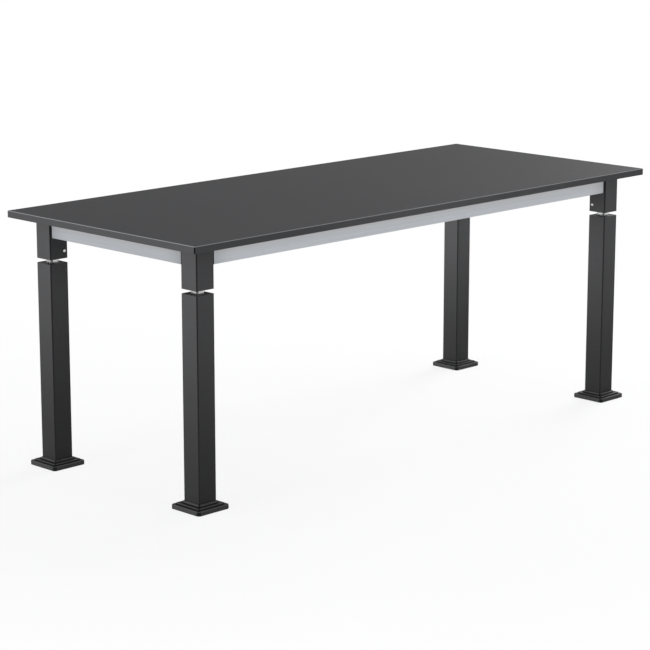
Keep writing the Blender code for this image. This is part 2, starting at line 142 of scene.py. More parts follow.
class Signal:
    """One socket of a node, on which Python arithmetic adds Math nodes."""

    def __init__(self, sheet: "NodeSheet", socket: bpy.types.NodeSocket) -> None:
        """Keep the socket and the sheet that it is on."""
        self.sheet = sheet
        self.socket = socket

    def other(self, name: str) -> "Signal":
        """Another output of the same node."""
        return Signal(self.sheet, self.socket.node.outputs[name])

    def __add__(self, other: Number) -> "Signal":
        """Sum of this value and another."""
        return self.sheet.maths("ADD", self, other)

    def __radd__(self, other: Number) -> "Signal":
        """Sum of another value and this one."""
        return self.sheet.maths("ADD", other, self)

    def __sub__(self, other: Number) -> "Signal":
        """This value less another."""
        return self.sheet.maths("SUBTRACT", self, other)

    def __rsub__(self, other: Number) -> "Signal":
        """Another value less this one."""
        return self.sheet.maths("SUBTRACT", other, self)

    def __mul__(self, other: Number) -> "Signal":
        """Product of this value and another."""
        return self.sheet.maths("MULTIPLY", self, other)

    def __rmul__(self, other: Number) -> "Signal":
        """Product of another value and this one."""
        return self.sheet.maths("MULTIPLY", other, self)

    def at_least(self, other: Number) -> "Signal":
        """The larger of this value and another."""
        return self.sheet.maths("MAXIMUM", self, other)

    def eased(self, low: float, high: float) -> "Signal":
        """A smooth step from 0 at the low value to 1 at the high one.

        Args:
            low: value at and below which the step is 0.
            high: value at and above which the step is 1.

        Returns:
            The step as a value from 0 to 1.
        """
        return self.sheet.add(
            "ShaderNodeMapRange",
            {"interpolation_type": "SMOOTHSTEP"},
            {"Value": self, "From Min": low, "From Max": high},
        )


@dataclass(frozen=True)
class Layer:
    """A layer of soft noise on a surface.

    The scale is in waves per metre, one number or one for each axis. Detail is how many finer
    layers it holds, and harshness how strong they are. It shows from the low to the high value
    of the noise, up to its share. Gloss is what it adds to the roughness.
    """

    scale: float | Offset
    detail: float = 2.0
    harshness: float = 0.5
    low: float = 0.3
    high: float = 0.7
    share: float = 1.0
    gloss: float = 0.0


class Texture(NamedTuple):
    """A layer of noise as it is drawn in one material."""

    layer: Layer
    noise: Signal

    def mask(self) -> Signal:
        """Where the layer shows, up to its share."""
        return self.noise.eased(self.layer.low, self.layer.high) * self.layer.share

    def gloss(self) -> Signal:
        """What the layer adds to the roughness."""
        return self.layer.gloss * (self.noise - NOISE_MIDDLE)


@dataclass(frozen=True)
class Mark:
    """A change of colour and gloss from a low to a high edge value.

    The share is how much of the colour shows, and breaking how far a noise eats into the mark.
    """

    colour: Colour
    low: float
    high: float
    share: float = 1.0
    gloss: float = 0.0
    breaking: float = 0.0

    def mask(self, value: Signal, noise: Signal | None = None) -> Signal:
        """Where the mark is.

        Args:
            value: edge value, or its negative.
            noise: noise that eats into the mark.

        Returns:
            A value from 0 to 1.
        """
        left = value if noise is None else value - self.breaking * noise
        return left.eased(self.low, self.high)


class NodeSheet:
    """The node tree of one material or world."""

    MIX_FIRST = 6
    MIX_SECOND = 7
    MIX_RESULT = 2
    DRIFT = 17.0

    def __init__(self, tree: bpy.types.NodeTree) -> None:
        """Take over a node tree and empty it."""
        self.tree = tree
        self.tree.nodes.clear()

    def add(
        self,
        kind: str,
        settings: Mapping[str, object] | None = None,
        inputs: Mapping[str | int, object] | None = None,
        output: str | int = 0,
    ) -> Signal:
        """Add one node.

        Args:
            kind: Blender's name of the node type.
            settings: properties of the node, set before its sockets.
            inputs: constant values or signals, by socket name or number.
            output: socket that is given back.

        Returns:
            The named output, or the first input of a node that has no output.
        """
        made = self.tree.nodes.new(kind)
        for name, value in (settings or {}).items():
            setattr(made, name, value)
        for name, value in (inputs or {}).items():
            socket = made.inputs[name]
            if isinstance(value, Signal):
                self.tree.links.new(value.socket, socket)
            elif socket.type == "RGBA":
                socket.default_value = (*value, 1.0)
            else:
                socket.default_value = value
        return Signal(self, made.outputs[output] if made.outputs else made.inputs[0])

    def maths(self, operation: str, first: Number, second: Number) -> Signal:
        """One Math node on two values."""
        return self.add("ShaderNodeMath", {"operation": operation}, {0: first, 1: second})

    def vectors(self, operation: str, first: object, second: object) -> Signal:
        """One Vector Math node on two vectors."""
        return self.add("ShaderNodeVectorMath", {"operation": operation}, {0: first, 1: second})

    def blend(self, factor: Number, first: object, second: object) -> Signal:
        """Mix of two colours.

        Args:
            factor: share of the second colour.
            first: colour or signal at a factor of 0.
            second: colour or signal at a factor of 1.

        Returns:
            The mixed colour.
        """
        return self.add(
            "ShaderNodeMix",
            {"data_type": "RGBA"},
            {0: factor, self.MIX_FIRST: first, self.MIX_SECOND: second},
            self.MIX_RESULT,
        )

    def place(self) -> Signal:
        """Point on the piece, moved by a different amount for each piece.

        Returns:
            The point.
        """
        point = self.add("ShaderNodeTexCoord", output="Object")
        chance = self.add("ShaderNodeObjectInfo", output="Random") * self.DRIFT
        shift = self.add("ShaderNodeCombineXYZ", {}, {"X": chance, "Y": chance, "Z": chance})
        return self.vectors("ADD", point, shift)

    def noise(self, layer: Layer) -> Texture:
        """Draw a layer of noise in the piece's own space.

        Args:
            layer: the layer.

        Returns:
            The layer with its noise, which is a value around one half.
        """
        scale = layer.scale if isinstance(layer.scale, tuple) else (layer.scale,) * 3
        made = self.add(
            "ShaderNodeTexNoise",
            {},
            {
                "Vector": self.vectors("MULTIPLY", self.place(), scale),
                "Scale": 1.0,
                "Detail": layer.detail,
                "Roughness": layer.harshness,
            },
        )
        return Texture(layer, made)

    def specks(self, scale: float) -> Signal:
        """Distance to the nearest of many scattered points, in cells."""
        return self.add("ShaderNodeTexVoronoi", {}, {"Vector": self.place(), "Scale": scale})

    def wear(self) -> Signal:
        """Edge value that the meshes carry at their vertices, which the finishes show as worn edges
        and as painted shade or light.
        """
        return self.add("ShaderNodeAttribute", {"attribute_name": WEAR_AND_SHADE}, {}, "Fac")

    def own_z(self, output: str) -> Signal:
        """Z of one output of the Texture Coordinate node, in the piece's own space."""
        vector = self.add("ShaderNodeTexCoord", output=output)
        return self.add("ShaderNodeSeparateXYZ", {}, {0: vector}, "Z")

    def height(self) -> Signal:
        """Height in the piece's own space, which is that above the floor for the legs' pieces."""
        return self.own_z("Object")

    def upward(self) -> Signal:
        """How far a face looks up, from -1 to 1."""
        return self.own_z("Normal")


# Finishes


@dataclass(frozen=True)
class Finish:
    """A surface with its colour, gloss and relief. Each kind of finish adds its own detail."""

    slot: Slot
    colour: Colour
    roughness: float
    metallic: float = 0.0
    specular: float = 0.5
    dark: float = 0.86
    light: float = 1.14
    relief: float = 0.0001
    relief_share: float = 0.3

    def material(self) -> bpy.types.Material:
        """Make the material of this finish.

        Returns:
            The material.
        """
        material = bpy.data.materials.new(self.slot.value + "_surface")
        material.use_nodes = True
        sheet = NodeSheet(material.node_tree)
        inputs = {"Metallic": self.metallic, "Specular IOR Level": self.specular}
        inputs.update(self.detail(sheet))
        shader = sheet.add("ShaderNodeBsdfPrincipled", {}, inputs)
        sheet.add("ShaderNodeOutputMaterial", {}, {"Surface": shader})
        material.diffuse_color = (*self.colour, 1.0)
        return material

    def detail(self, sheet: NodeSheet) -> dict[str, object]:
        """Signals for the shader's sockets.

        Args:
            sheet: the material's node sheet.

        Returns:
            Values or signals by socket name.
        """
        raise NotImplementedError

    def tinted(self, amount: float, colour: Colour | None = None) -> Colour:
        """The finish's own or another colour, made lighter or darker by a share."""
        return tuple(channel * amount for channel in colour or self.colour)

    def mottled(self, sheet: NodeSheet, mask: Signal) -> Signal:
        """The finish's colour, dark where a mask is 0 and light where it is 1."""
        return sheet.blend(mask, self.tinted(self.dark), self.tinted(self.light))

    def bumped(self, sheet: NodeSheet, height: Signal) -> Signal:
        """Normal of the surface with its relief."""
        inputs = {"Strength": self.relief_share, "Distance": self.relief, "Height": height}
        return sheet.add("ShaderNodeBump", {}, inputs)


@dataclass(frozen=True)
class ResinFinish(Finish):
    """Solid black resin: fine grain, cloudy sheen, faint hairlines, sides paler as sawn faces and
    as painted light, and a painted highlight on the upper chamfer.
    """

    relief: float = 0.00006
    relief_share: float = 0.25
    grain: Layer = Layer(1300.0, harshness=0.6)
    cloud: Layer = Layer(2.4, 4.0, low=0.35, share=0.35, gloss=0.10)
    cloud_tint: float = 1.2
    hairline: Layer = Layer((14.0, 1500.0, 14.0), 3.0, 0.6, 0.62, 0.78, 0.12, 0.08)
    side_colour: Colour = (0.0744, 0.0744, 0.077)
    side_tilt: Span = (0.3, 0.9)
    # Painted shade on the slab's rounded vertical corners.
    corner: Mark = Mark((0.0077, 0.0077, 0.009), 0.1, 0.6)
    # Painted highlight along the slab's upper chamfer; the hairlines take the same colour.
    edge: Mark = Mark((0.256, 0.256, 0.261), 0.1, 0.8, breaking=0.25)

    def detail(self, sheet: NodeSheet) -> dict[str, object]:
        """Signals for the shader's sockets.

        Args:
            sheet: the material's node sheet.

        Returns:
            Values or signals by socket name.
        """
        grain, cloud, hairline = map(sheet.noise, (self.grain, self.cloud, self.hairline))
        shade = self.mottled(sheet, grain.mask())
        shade = sheet.blend(cloud.mask(), shade, self.tinted(self.cloud_tint))
        shade = sheet.blend(hairline.mask(), shade, self.edge.colour)
        # Sides and underside paler: partly sawn faces, partly painted light.
        side = 1.0 - sheet.upward().eased(*self.side_tilt)
        shade = sheet.blend(side, shade, self.side_colour)
        # Painted shade on the slab's rounded vertical corners.
        corner = self.corner.mask(0.0 - sheet.wear())
        shade = sheet.blend(corner, shade, self.corner.colour)
        # Painted highlight on the upper chamfer.
        edge = self.edge.mask(sheet.wear(), grain.noise)
        return {
            "Base Color": sheet.blend(edge, shade, self.edge.colour),
            "Roughness": self.roughness + cloud.gloss() + hairline.gloss(),
            "Normal": self.bumped(sheet, grain.noise),
        }


@dataclass(frozen=True)
class PowderCoatFinish(Finish):
    """Satin black powder coat: orange peel, fine pepper, painted shade on its corners, and painted
    shade that darkens it towards the floor.

    Where the edge value is negative the coat is rougher and paler: painted light on the nut plates,
    which lie in the heads' shade.
    """

    dark: float = 0.82
    light: float = 1.22
    relief: float = 0.00012
    peel: Layer = Layer(620.0, 1.0)
    pepper: Layer = Layer(2600.0, 1.0, 0.6, high=0.75, gloss=0.10)
    pepper_relief: float = 0.3
    cloud: Layer = Layer(9.0, 3.0, high=0.75, share=0.3, gloss=0.10)
    cloud_tint: float = 1.15
    # Painted shade: the fade, floor shade share and tint darken the coat towards the floor, by
    # height.
    fade: Span = (0.0, 0.74)
    floor_share: float = 0.78
    floor_tint: float = 0.1
    # Painted light: where the edge value is negative the coat is paler and rougher, to light the
    # shaded nut plates.
    rubbed: Mark = Mark((0.1475, 0.1475, 0.1513), 0.1, 0.8, gloss=0.4)
    # Painted shade: dark along the tubes' rounded corners and just above the boots; it also darkens
    # their rims.
    corner: Mark = Mark((0.0128, 0.0128, 0.0141), 0.1, 0.85, gloss=0.1, breaking=0.2)

    def detail(self, sheet: NodeSheet) -> dict[str, object]:
        """Signals for the shader's sockets.

        Args:
            sheet: the material's node sheet.

        Returns:
            Values or signals by socket name.
        """
        peel, pepper, cloud = map(sheet.noise, (self.peel, self.pepper, self.cloud))
        shade = self.mottled(sheet, pepper.mask())
        shade = sheet.blend(cloud.mask(), shade, self.tinted(self.cloud_tint))
        # Painted shade: darker towards the floor.
        low = 1.0 - sheet.height().eased(*self.fade)
        shade = sheet.blend(low * self.floor_share, shade, self.tinted(self.floor_tint))
        # Painted light on the nut plates.
        rubbed = self.rubbed.mask(0.0 - sheet.wear())
        shade = sheet.blend(rubbed, shade, self.rubbed.colour)
        # Painted shade along the corners and above the boots, where the edge value is positive.
        corner = self.corner.mask(sheet.wear(), cloud.noise)
        gloss = self.roughness + cloud.gloss() + pepper.gloss()
        return {
            "Base Color": sheet.blend(corner, shade, self.corner.colour),
            "Roughness": gloss + self.corner.gloss * corner + self.rubbed.gloss * rubbed,
            "Normal": self.bumped(sheet, peel.noise + self.pepper_relief * pepper.noise),
        }


@dataclass(frozen=True)
class BrushedFinish(Finish):
    """Metal brushed along its own X axis, with a cooler painted reflection low down and bright worn
    edges.

    Where the edge value is below 0 it darkens as painted shade, and near -1 a matt black strip is
    painted in its place as the shadow of a gap.
    """

    dark: float = 0.90
    light: float = 1.08
    relief: float = 0.00005
    relief_share: float = 0.2
    lower_colour: Colour = (0.467, 0.490, 0.519)
    lower_span: Span = (-0.042, -0.006)
    line: Layer = Layer((3.0, 1900.0, 1900.0), 3.0, 0.65, 0.25, 0.75, gloss=0.14)
    streak: Layer = Layer((1.2, 120.0, 120.0), low=0.4, share=0.3)
    streak_tint: float = 0.93
    cloud: Layer = Layer(5.0, 3.0, gloss=0.08)
    edge: Mark = Mark((0.80, 0.81, 0.82), 0.1, 0.8, gloss=-0.08, breaking=0.3)
    # Painted shadow: a matt black strip at each end, for the gap where a rail meets a head.
    band: Mark = Mark((0.006, 0.006, 0.007), 0.4, 0.6, gloss=0.3)
    dimming: float = 2.4

    def detail(self, sheet: NodeSheet) -> dict[str, object]:
        """Signals for the shader's sockets.

        Args:
            sheet: the material's node sheet.

        Returns:
            Values or signals by socket name.
        """
        line, streak, cloud = map(sheet.noise, (self.line, self.streak, self.cloud))
        # Painted reflection: a cooler tint towards the lower edge.
        upper = sheet.height().eased(*self.lower_span)
        dark, light = (
            sheet.blend(upper, self.tinted(tint, self.lower_colour), self.tinted(tint))
            for tint in (self.dark, self.light)
        )
        shade = sheet.blend(line.mask(), dark, light)
        shade = sheet.blend(streak.mask(), shade, self.tinted(self.streak_tint))
        edge = self.edge.mask(sheet.wear(), cloud.noise)
        shade = sheet.blend(edge, shade, self.edge.colour)
        # Painted shade: the metal darkens towards the ends that meet the heads.
        end_shade = (0.0 - sheet.wear()).at_least(0.0)
        shade = sheet.blend(end_shade * end_shade * self.dimming, shade, self.band.colour)
        # Painted shadow of the gap at the rail's ends.
        band = self.band.mask(end_shade)
        gloss = self.roughness + line.gloss() + cloud.gloss()
        return {
            "Base Color": sheet.blend(band, shade, self.band.colour),
            "Metallic": self.metallic - self.metallic * band,
            "Roughness": gloss + self.edge.gloss * edge + self.band.gloss * band,
            "Normal": self.bumped(sheet, line.noise),
        }


@dataclass(frozen=True)
class ZincFinish(Finish):
    """Bright zinc plate: a faint warm and cool tint, fine haze and bright worn edges.

    Where the edge value is negative the plate is matt and rougher, and darker as painted shade.
    """

    relief: float = 0.00003
    relief_share: float = 0.15
    warm: Colour = (0.78, 0.75, 0.69)
    cool: Colour = (0.72, 0.75, 0.79)
    tint: Layer = Layer(55.0)
    haze: Layer = Layer(420.0, 3.0, 0.6, share=0.5, gloss=0.16)
    least_haze: float = 0.25
    edge: Mark = Mark((0.86, 0.86, 0.85), 0.2, 0.9, 0.5, -0.06)
    # Matt and rougher, with painted shade: the collar's turned corners are darkened.
    dull: Mark = Mark((0.24, 0.24, 0.245), 0.2, 0.8, gloss=0.2)

    def detail(self, sheet: NodeSheet) -> dict[str, object]:
        """Signals for the shader's sockets.

        Args:
            sheet: the material's node sheet.

        Returns:
            Values or signals by socket name.
        """
        tint, haze = map(sheet.noise, (self.tint, self.haze))
        film = sheet.blend(tint.mask(), self.warm, self.cool)
        shade = sheet.blend(haze.mask() + self.least_haze, self.colour, film)
        edge = self.edge.mask(sheet.wear())
        shade = sheet.blend(edge * self.edge.share, shade, self.edge.colour)
        # Painted shade on the collar's turned corners.
        dull = self.dull.mask(0.0 - sheet.wear())
        gloss = self.roughness + haze.gloss()
        return {
            "Base Color": sheet.blend(dull, shade, self.dull.colour),
            "Roughness": gloss + self.edge.gloss * edge + self.dull.gloss * dull,
            "Normal": self.bumped(sheet, haze.noise),
        }


@dataclass(frozen=True)
class MachinedFinish(Finish):
    """Plain machined steel: cutter lines, dull patches and a few dark pores."""

    light: float = 1.12
    relief: float = 0.00006
    relief_share: float = 0.25
    line: Layer = Layer((1400.0, 90.0, 260.0), gloss=0.12)
    patch: Layer = Layer(38.0, 3.0, low=0.45, high=0.75, share=0.4, gloss=0.16)
    patch_tint: float = 0.72
    edge: Mark = Mark((0.63, 0.63, 0.645), 0.2, 0.9, 0.6)
    pore_scale: float = 900.0
    pore_span: Span = (0.05, 0.16)
    pore_share: float = 0.5
    pore_tint: float = 0.3

    def detail(self, sheet: NodeSheet) -> dict[str, object]:
        """Signals for the shader's sockets.

        Args:
            sheet: the material's node sheet.

        Returns:
            Values or signals by socket name.
        """
        line, patch = map(sheet.noise, (self.line, self.patch))
        shade = self.mottled(sheet, line.mask())
        shade = sheet.blend(patch.mask(), shade, self.tinted(self.patch_tint))
        edge = self.edge.mask(sheet.wear())
        shade = sheet.blend(edge * self.edge.share, shade, self.edge.colour)
        pore = 1.0 - sheet.specks(self.pore_scale).eased(*self.pore_span)
        return {
            "Base Color": sheet.blend(pore * self.pore_share, shade, self.tinted(self.pore_tint)),
            "Roughness": self.roughness + patch.gloss() + line.gloss(),
            "Normal": self.bumped(sheet, line.noise),
        }


@dataclass(frozen=True)
class RubberFinish(Finish):
    """Moulded black rubber: fine grain, dusty ledges that are also paler as painted light, and
    scuffed edges.

    Where the edge value is negative it is a nook, darkened by painted shade.
    """

    dark: float = 0.85
    light: float = 1.15
    grain: Layer = Layer(1500.0, harshness=0.6, gloss=0.08)
    dust: Layer = Layer(90.0, 4.0, 0.6, 0.25, 0.8, 0.55, 0.14)
    dust_colour: Colour = (0.141, 0.141, 0.138)
    ledge_tilt: Span = (0.4, 0.95)
    # Painted shade in the boot's nooks, at its land and on its round corners.
    nook: Mark = Mark((0.0064, 0.0064, 0.0064), 0.1, 0.7)
    edge: Mark = Mark((0.096, 0.096, 0.0975), 0.1, 0.8, 0.6, breaking=0.4)

    def detail(self, sheet: NodeSheet) -> dict[str, object]:
        """Signals for the shader's sockets.

        Args:
            sheet: the material's node sheet.

        Returns:
            Values or signals by socket name.
        """
        grain, dust = map(sheet.noise, (self.grain, self.dust))
        shade = self.mottled(sheet, grain.mask())
        # Paler upward ledges: partly dusting, partly painted light.
        ledge = sheet.upward().eased(*self.ledge_tilt) * dust.mask()
        shade = sheet.blend(ledge, shade, self.dust_colour)
        # Painted shade where the edge value is negative.
        nook = self.nook.mask(0.0 - sheet.wear())
        shade = sheet.blend(nook, shade, self.nook.colour)
        edge = self.edge.mask(sheet.wear(), dust.noise)
        return {
            "Base Color": sheet.blend(edge * self.edge.share, shade, self.edge.colour),
            "Roughness": self.roughness + dust.gloss() + grain.gloss(),
            "Normal": self.bumped(sheet, grain.noise),
        }


FINISHES: tuple[Finish, ...] = (
    ResinFinish(Slot.RESIN, (0.0455, 0.0455, 0.0475), 0.60, specular=0.03),
    PowderCoatFinish(Slot.PAINT, (0.074, 0.074, 0.076), 0.50, specular=0.12),
    BrushedFinish(Slot.ALUMINIUM, (0.426, 0.426, 0.437), 0.36, 1.0, 0.05),
    ZincFinish(Slot.ZINC, (0.76, 0.76, 0.75), 0.35, 1.0),
    MachinedFinish(Slot.STEEL, (0.42, 0.42, 0.43), 0.38, 1.0),
    RubberFinish(Slot.RUBBER, (0.0462, 0.0462, 0.0474), 0.66, specular=0.12),
)


# Shapes


class Point(NamedTuple):
    """A vertex with the edge value that the finishes read, as worn edges and as painted shade or
    light.
    """

    x: float
    y: float
    z: float
    wear: float = 0.0


Ring = list[Point]


class Box(NamedTuple):
    """The box round a CAD node, by its lowest and its highest corner."""

    low: Vector
    high: Vector

    @property
    def half(self) -> float:
        """Half of its length along X."""
        return (self.high.x - self.low.x) / 2

    @property
    def middle(self) -> Vector:
        """The point in its middle."""
        return (self.low + self.high) / 2


def cad_box(node: str) -> Box:
    """The box round one CAD node."""
    return Box(*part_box(node))


def leg_matrix(corner: Corner) -> Matrix:
    """Where one leg's own space sits in the table's."""
    middle = cad_box(f"leg_tube_{corner.label}").middle
    return Matrix.Translation((middle.x, middle.y, 0.0)) @ corner.turn


def rectangle_ring(
    half_x: float, half_y: float, radius: float, height: float,
    steps: int = CORNER_STEPS, wear: float = 0.0, corner_wear: float = 0.0,
) -> Ring:
    """Outline of a rectangle with round corners, counter-clockwise.

    Args:
        half_x: half of its length along X.
        half_y: half of its length along Y.
        radius: radius of its corners.
        height: where it lies along Z.
        steps: facets of each corner.
        wear: edge value all round it.
        corner_wear: edge value added round each corner.

    Returns:
        Its points.
    """
    radius = max(radius, LEAST_RADIUS)
    ring = []
    for quarter, (side_x, side_y) in enumerate(((1, 1), (-1, 1), (-1, -1), (1, -1))):
        for step in range(steps + 1):
            share = step / steps
            angle = QUARTER * (quarter + share)
            x = side_x * (half_x - radius) + radius * math.cos(angle)
            y = side_y * (half_y - radius) + radius * math.sin(angle)
            added = corner_wear * min(1.0, 2 * math.sin(math.pi * share))
            ring.append(Point(x, y, height, wear + added))
    return ring


def square_ring(
    half: float, radius: float, height: float,
    steps: int = CORNER_STEPS, wear: float = 0.0, corner_wear: float = 0.0,
) -> Ring:
    """Outline of a square with round corners."""
    return rectangle_ring(half, half, radius, height, steps, wear, corner_wear)


def round_ring(radius: float, height: float, steps: int, wear: float = 0.0) -> Ring:
    """Outline of a circle, counter-clockwise from +X.

    Args:
        radius: its radius.
        height: where it lies along Z.
        steps: points around it.
        wear: edge value all round it.

    Returns:
        Its points.
    """
    turn = FULL_TURN / steps
    return [
        Point(radius * math.cos(turn * step), radius * math.sin(turn * step), height, wear)
        for step in range(steps)
    ]


def polygon_ring(
    sides: int, flats: float, height: float, steps: int,
    limit: float = math.inf, wear: float = 0.0, limit_wear: float = 0.0,
) -> Ring:
    """Outline of an even polygon with a flat towards +X, counter-clockwise from +X.

    Args:
        sides: number of its sides.
        flats: distance across its flats.
        height: where it lies along Z.
        steps: points around it, twice the sides or a multiple of that.
        limit: radius beyond which its corners are turned off.
        wear: edge value along its sides.
        limit_wear: edge value at its turned corners.

    Returns:
        Its points.
    """
    sector = FULL_TURN / sides
    ring = []
    for step in range(steps):
        angle = FULL_TURN * step / steps
        reach = flats / 2 / math.cos((angle + sector / 2) % sector - sector / 2)
        radius = min(reach, limit)
        value = limit_wear if reach > limit else wear
        ring.append(Point(radius * math.cos(angle), radius * math.sin(angle), height, value))
    return ring


def round_over(radius: float, steps: int = 4) -> Iterable[tuple[float, float, float]]:
    """A rounded edge from a side to the face above it.

    Args:
        radius: radius of the edge.
        steps: facets of the edge.

    Yields:
        Inset from the side, rise from the start of the edge, and edge value.
    """
    for step in range(steps + 1):
        angle = QUARTER * step / steps
        yield radius * (1 - math.cos(angle)), radius * math.sin(angle), math.sin(2 * angle)


class Shape:
    """A closed mesh in the making."""

    def __init__(self) -> None:
        """Start with no faces."""
        self.mesh = bmesh.new()
        self.layer = self.mesh.verts.layers.float.new(WEAR_AND_SHADE)

    def vertex(self, point: Point) -> bmesh.types.BMVert:
        """Add one vertex with its edge value.

        Args:
            point: where it is, and its edge value.

        Returns:
            The vertex.
        """
        made = self.mesh.verts.new(point[:3])
        made[self.layer] = point.wear
        return made

    @classmethod
    def loft(cls, rings: Sequence[Ring], closed: bool = False) -> "Shape":
        """Skin a stack of rings with equal point counts.

        Args:
            rings: outlines from one end to the other.
            closed: join the last ring to the first, which makes a wall, or cap both ends.

        Returns:
            The shape.
        """
        shape = cls()
        loops = [[shape.vertex(point) for point in ring] for ring in rings]
        pairs = list(zip(loops, loops[1:]))
        if closed:
            pairs.append((loops[-1], loops[0]))
        else:
            shape.mesh.faces.new(list(reversed(loops[0])))
            shape.mesh.faces.new(loops[-1])
        for lower, upper in pairs:
            for index in range(len(lower)):
                after = (index + 1) % len(lower)
                shape.mesh.faces.new((lower[index], lower[after], upper[after], upper[index]))
        return shape

    @classmethod
    def rod(cls, radius: float, start: float, end: float, steps: int = 24) -> "Shape":
        """A plain round rod along Z."""
        return cls.loft((round_ring(radius, start, steps), round_ring(radius, end, steps)))

    def turned(self, axis: str, angle: float) -> "Shape":
        """Turn the shape about an axis through the origin.

        Args:
            axis: name of the axis.
            angle: angle of the turn.

        Returns:
            The shape itself.
        """
        matrix = Matrix.Rotation(angle, 3, axis)
        bmesh.ops.rotate(self.mesh, verts=self.mesh.verts, matrix=matrix)
        return self

    def moved(self, offset: Offset) -> "Shape":
        """Move the shape."""
        bmesh.ops.translate(self.mesh, verts=self.mesh.verts, vec=offset)
        return self

    def finished(self, name: str) -> bpy.types.Mesh:
        """Turn the shape into a mesh with outward faces.

        Args:
            name: name of the mesh.

        Returns:
            The mesh.
        """
        bmesh.ops.recalc_face_normals(self.mesh, faces=self.mesh.faces)
        mesh = bpy.data.meshes.new(name)
        self.mesh.to_mesh(mesh)
        self.mesh.free()
        return mesh


def combined(mesh: bpy.types.Mesh, others: Sequence[Shape], way: Cut) -> bpy.types.Mesh:
    """Cut shapes out of a mesh, or join them to it.

    Args:
        mesh: the mesh to change.
        others: the shapes.
        way: cut out or join.

    Returns:
        A new mesh with the result.
    """
    scene = bpy.context.scene.collection
    target = bpy.data.objects.new("target", mesh)
    scene.objects.link(target)
    helpers = []
    for other in others:
        helper = bpy.data.objects.new("helper", other.finished("helper"))
        scene.objects.link(helper)
        helpers.append(helper)
        modifier = target.modifiers.new("combine", "BOOLEAN")
        modifier.operation = way.value
        modifier.solver = "EXACT"
        modifier.object = helper
    evaluated = target.evaluated_get(bpy.context.evaluated_depsgraph_get())
    result = bpy.data.meshes.new_from_object(evaluated)
    result.name = mesh.name
    for leftover in (target, *helpers):
        bpy.data.objects.remove(leftover, do_unlink=True)
    return result


# The workshop that puts pieces in place


class Workshop:
    """Holds the materials and the shared meshes, and puts each piece on its CAD body."""

    def __init__(self) -> None:
        """Make a material for every finish."""
        self.materials = {finish.slot: finish.material() for finish in FINISHES}
        self.meshes: dict[str, bpy.types.Mesh] = {}
        self.count = 0

    def shared(
        self, name: str, slot: Slot, make: Callable[..., bpy.types.Mesh], *given: object
    ) -> bpy.types.Mesh:
        """A shaded mesh in its material, built for the first piece that asks for it.

        Args:
            name: name of the mesh.
            slot: material slot of the record.
            make: builds the mesh from its name and what else is given.
            given: what else it is built from.

        Returns:
            The mesh.
        """
        if name not in self.meshes:
            mesh = make(name, *given)
            mesh.shade_smooth()
            mesh.set_sharp_from_angle(angle=SMOOTH_BELOW)
            mesh.materials.clear()
            mesh.materials.append(self.materials[slot])
            self.meshes[name] = mesh
        return self.meshes[name]

    def place(
        self, name: str, mesh: bpy.types.Mesh, slot: Slot, node: str, body: str,
        matrix: Matrix | None = None,
    ) -> None:
        """Put one piece in the place of a CAD node.

        Args:
            name: name of the piece.
            mesh: its shaded mesh.
            slot: material slot of the record; not used, as the mesh already holds its material.
            node: CAD node that it stands for.
            body: CAD body that it moves with.
            matrix: where its own space sits in the table's.
        """
        piece = bpy.data.objects.new(name, mesh)
        bpy.context.scene.collection.objects.link(piece)
        piece.matrix_world = matrix or Matrix.Identity(4)
        normals = piece.modifiers.new("flat faces", "WEIGHTED_NORMAL")
        normals.keep_sharp = True
        normals.weight = FACE_WEIGHT
        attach(piece, body)
        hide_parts(node)
        self.count += 1
        LOG.info("%s stands for %s on %s, %d faces", name, node, body, len(mesh.polygons))

    def dress(self, node: str, slot: Slot) -> None:
        """Give a CAD node that stays in view its material.

        Args:
            node: the CAD node.
            slot: material slot of the record.
        """
        mesh = frame["nodes"][node].data
        mesh.materials.clear()
        mesh.materials.append(self.materials[slot])
        self.count += 1
        LOG.info("%s keeps its own shape", node)


# Sub-assemblies


@dataclass(frozen=True)
class Worktop:
    """The resin slab, with a chamfer round its upper edge that carries a painted highlight, and a
    fine one below.
    """

    corner_radius: float = 0.003
    chamfer: float = 0.0015
    lower_chamfer: float = 0.0005
    softening: float = 0.0005
    # The bends and face of the upper chamfer carry a painted highlight.
    bend_wear: float = 0.6
    # Painted shade on the slab's rounded vertical corners.
    corner_wear: float = -1.0
    corner_steps: int = 8

    def chamfer_points(self, size: float) -> list[tuple[float, float, float]]:
        """Softened chamfer from the side to the face.

        Args:
            size: width of the chamfer on each face.

        Returns:
            Inset from the side, drop below the face, and edge value of each point.
        """
        half_bend = math.pi / 8
        tangent = self.softening * math.tan(half_bend)
        bulge = self.softening * (1 / math.cos(half_bend) - 1)
        slant = tangent * math.sqrt(0.5)
        near, far = bulge * math.cos(half_bend), bulge * math.sin(half_bend)
        return [
            (0.0, size + tangent, 0.0),
            (near, size + far, self.bend_wear),
            (slant, size - slant, 1.0),
            (size - slant, slant, 1.0),
            (size + far, near, self.bend_wear),
            (size + tangent, 0.0, 0.0),
        ]

    def mesh(self, name: str, box: Box) -> bpy.types.Mesh:
        """Build the slab.

        Args:
            name: name of the mesh.
            box: box of the CAD slab.

        Returns:
            Its mesh.
        """
        low, high = box
        half_y = (high.y - low.y) / 2
        lower = reversed(self.chamfer_points(self.lower_chamfer))
        upper = self.chamfer_points(self.chamfer)
        stations = [(inset, low.z + drop, 0.0) for inset, drop, _ in lower]
        stations += [(inset, high.z - drop, wear) for inset, drop, wear in upper]
        rings = [
            rectangle_ring(
                box.half - inset, half_y - inset, self.corner_radius - inset, height,
                self.corner_steps, wear, 0.0 if inset else self.corner_wear,
            )
            for inset, height, wear in stations
        ]
        return Shape.loft(rings).finished(name)

    def build(self, shop: Workshop) -> None:
        """Build the slab and put it in place."""
        mesh = shop.shared("worktop_slab", Slot.RESIN, self.mesh, cad_box("worktop"))
        shop.place("worktop_slab", mesh, Slot.RESIN, "worktop", "frame")


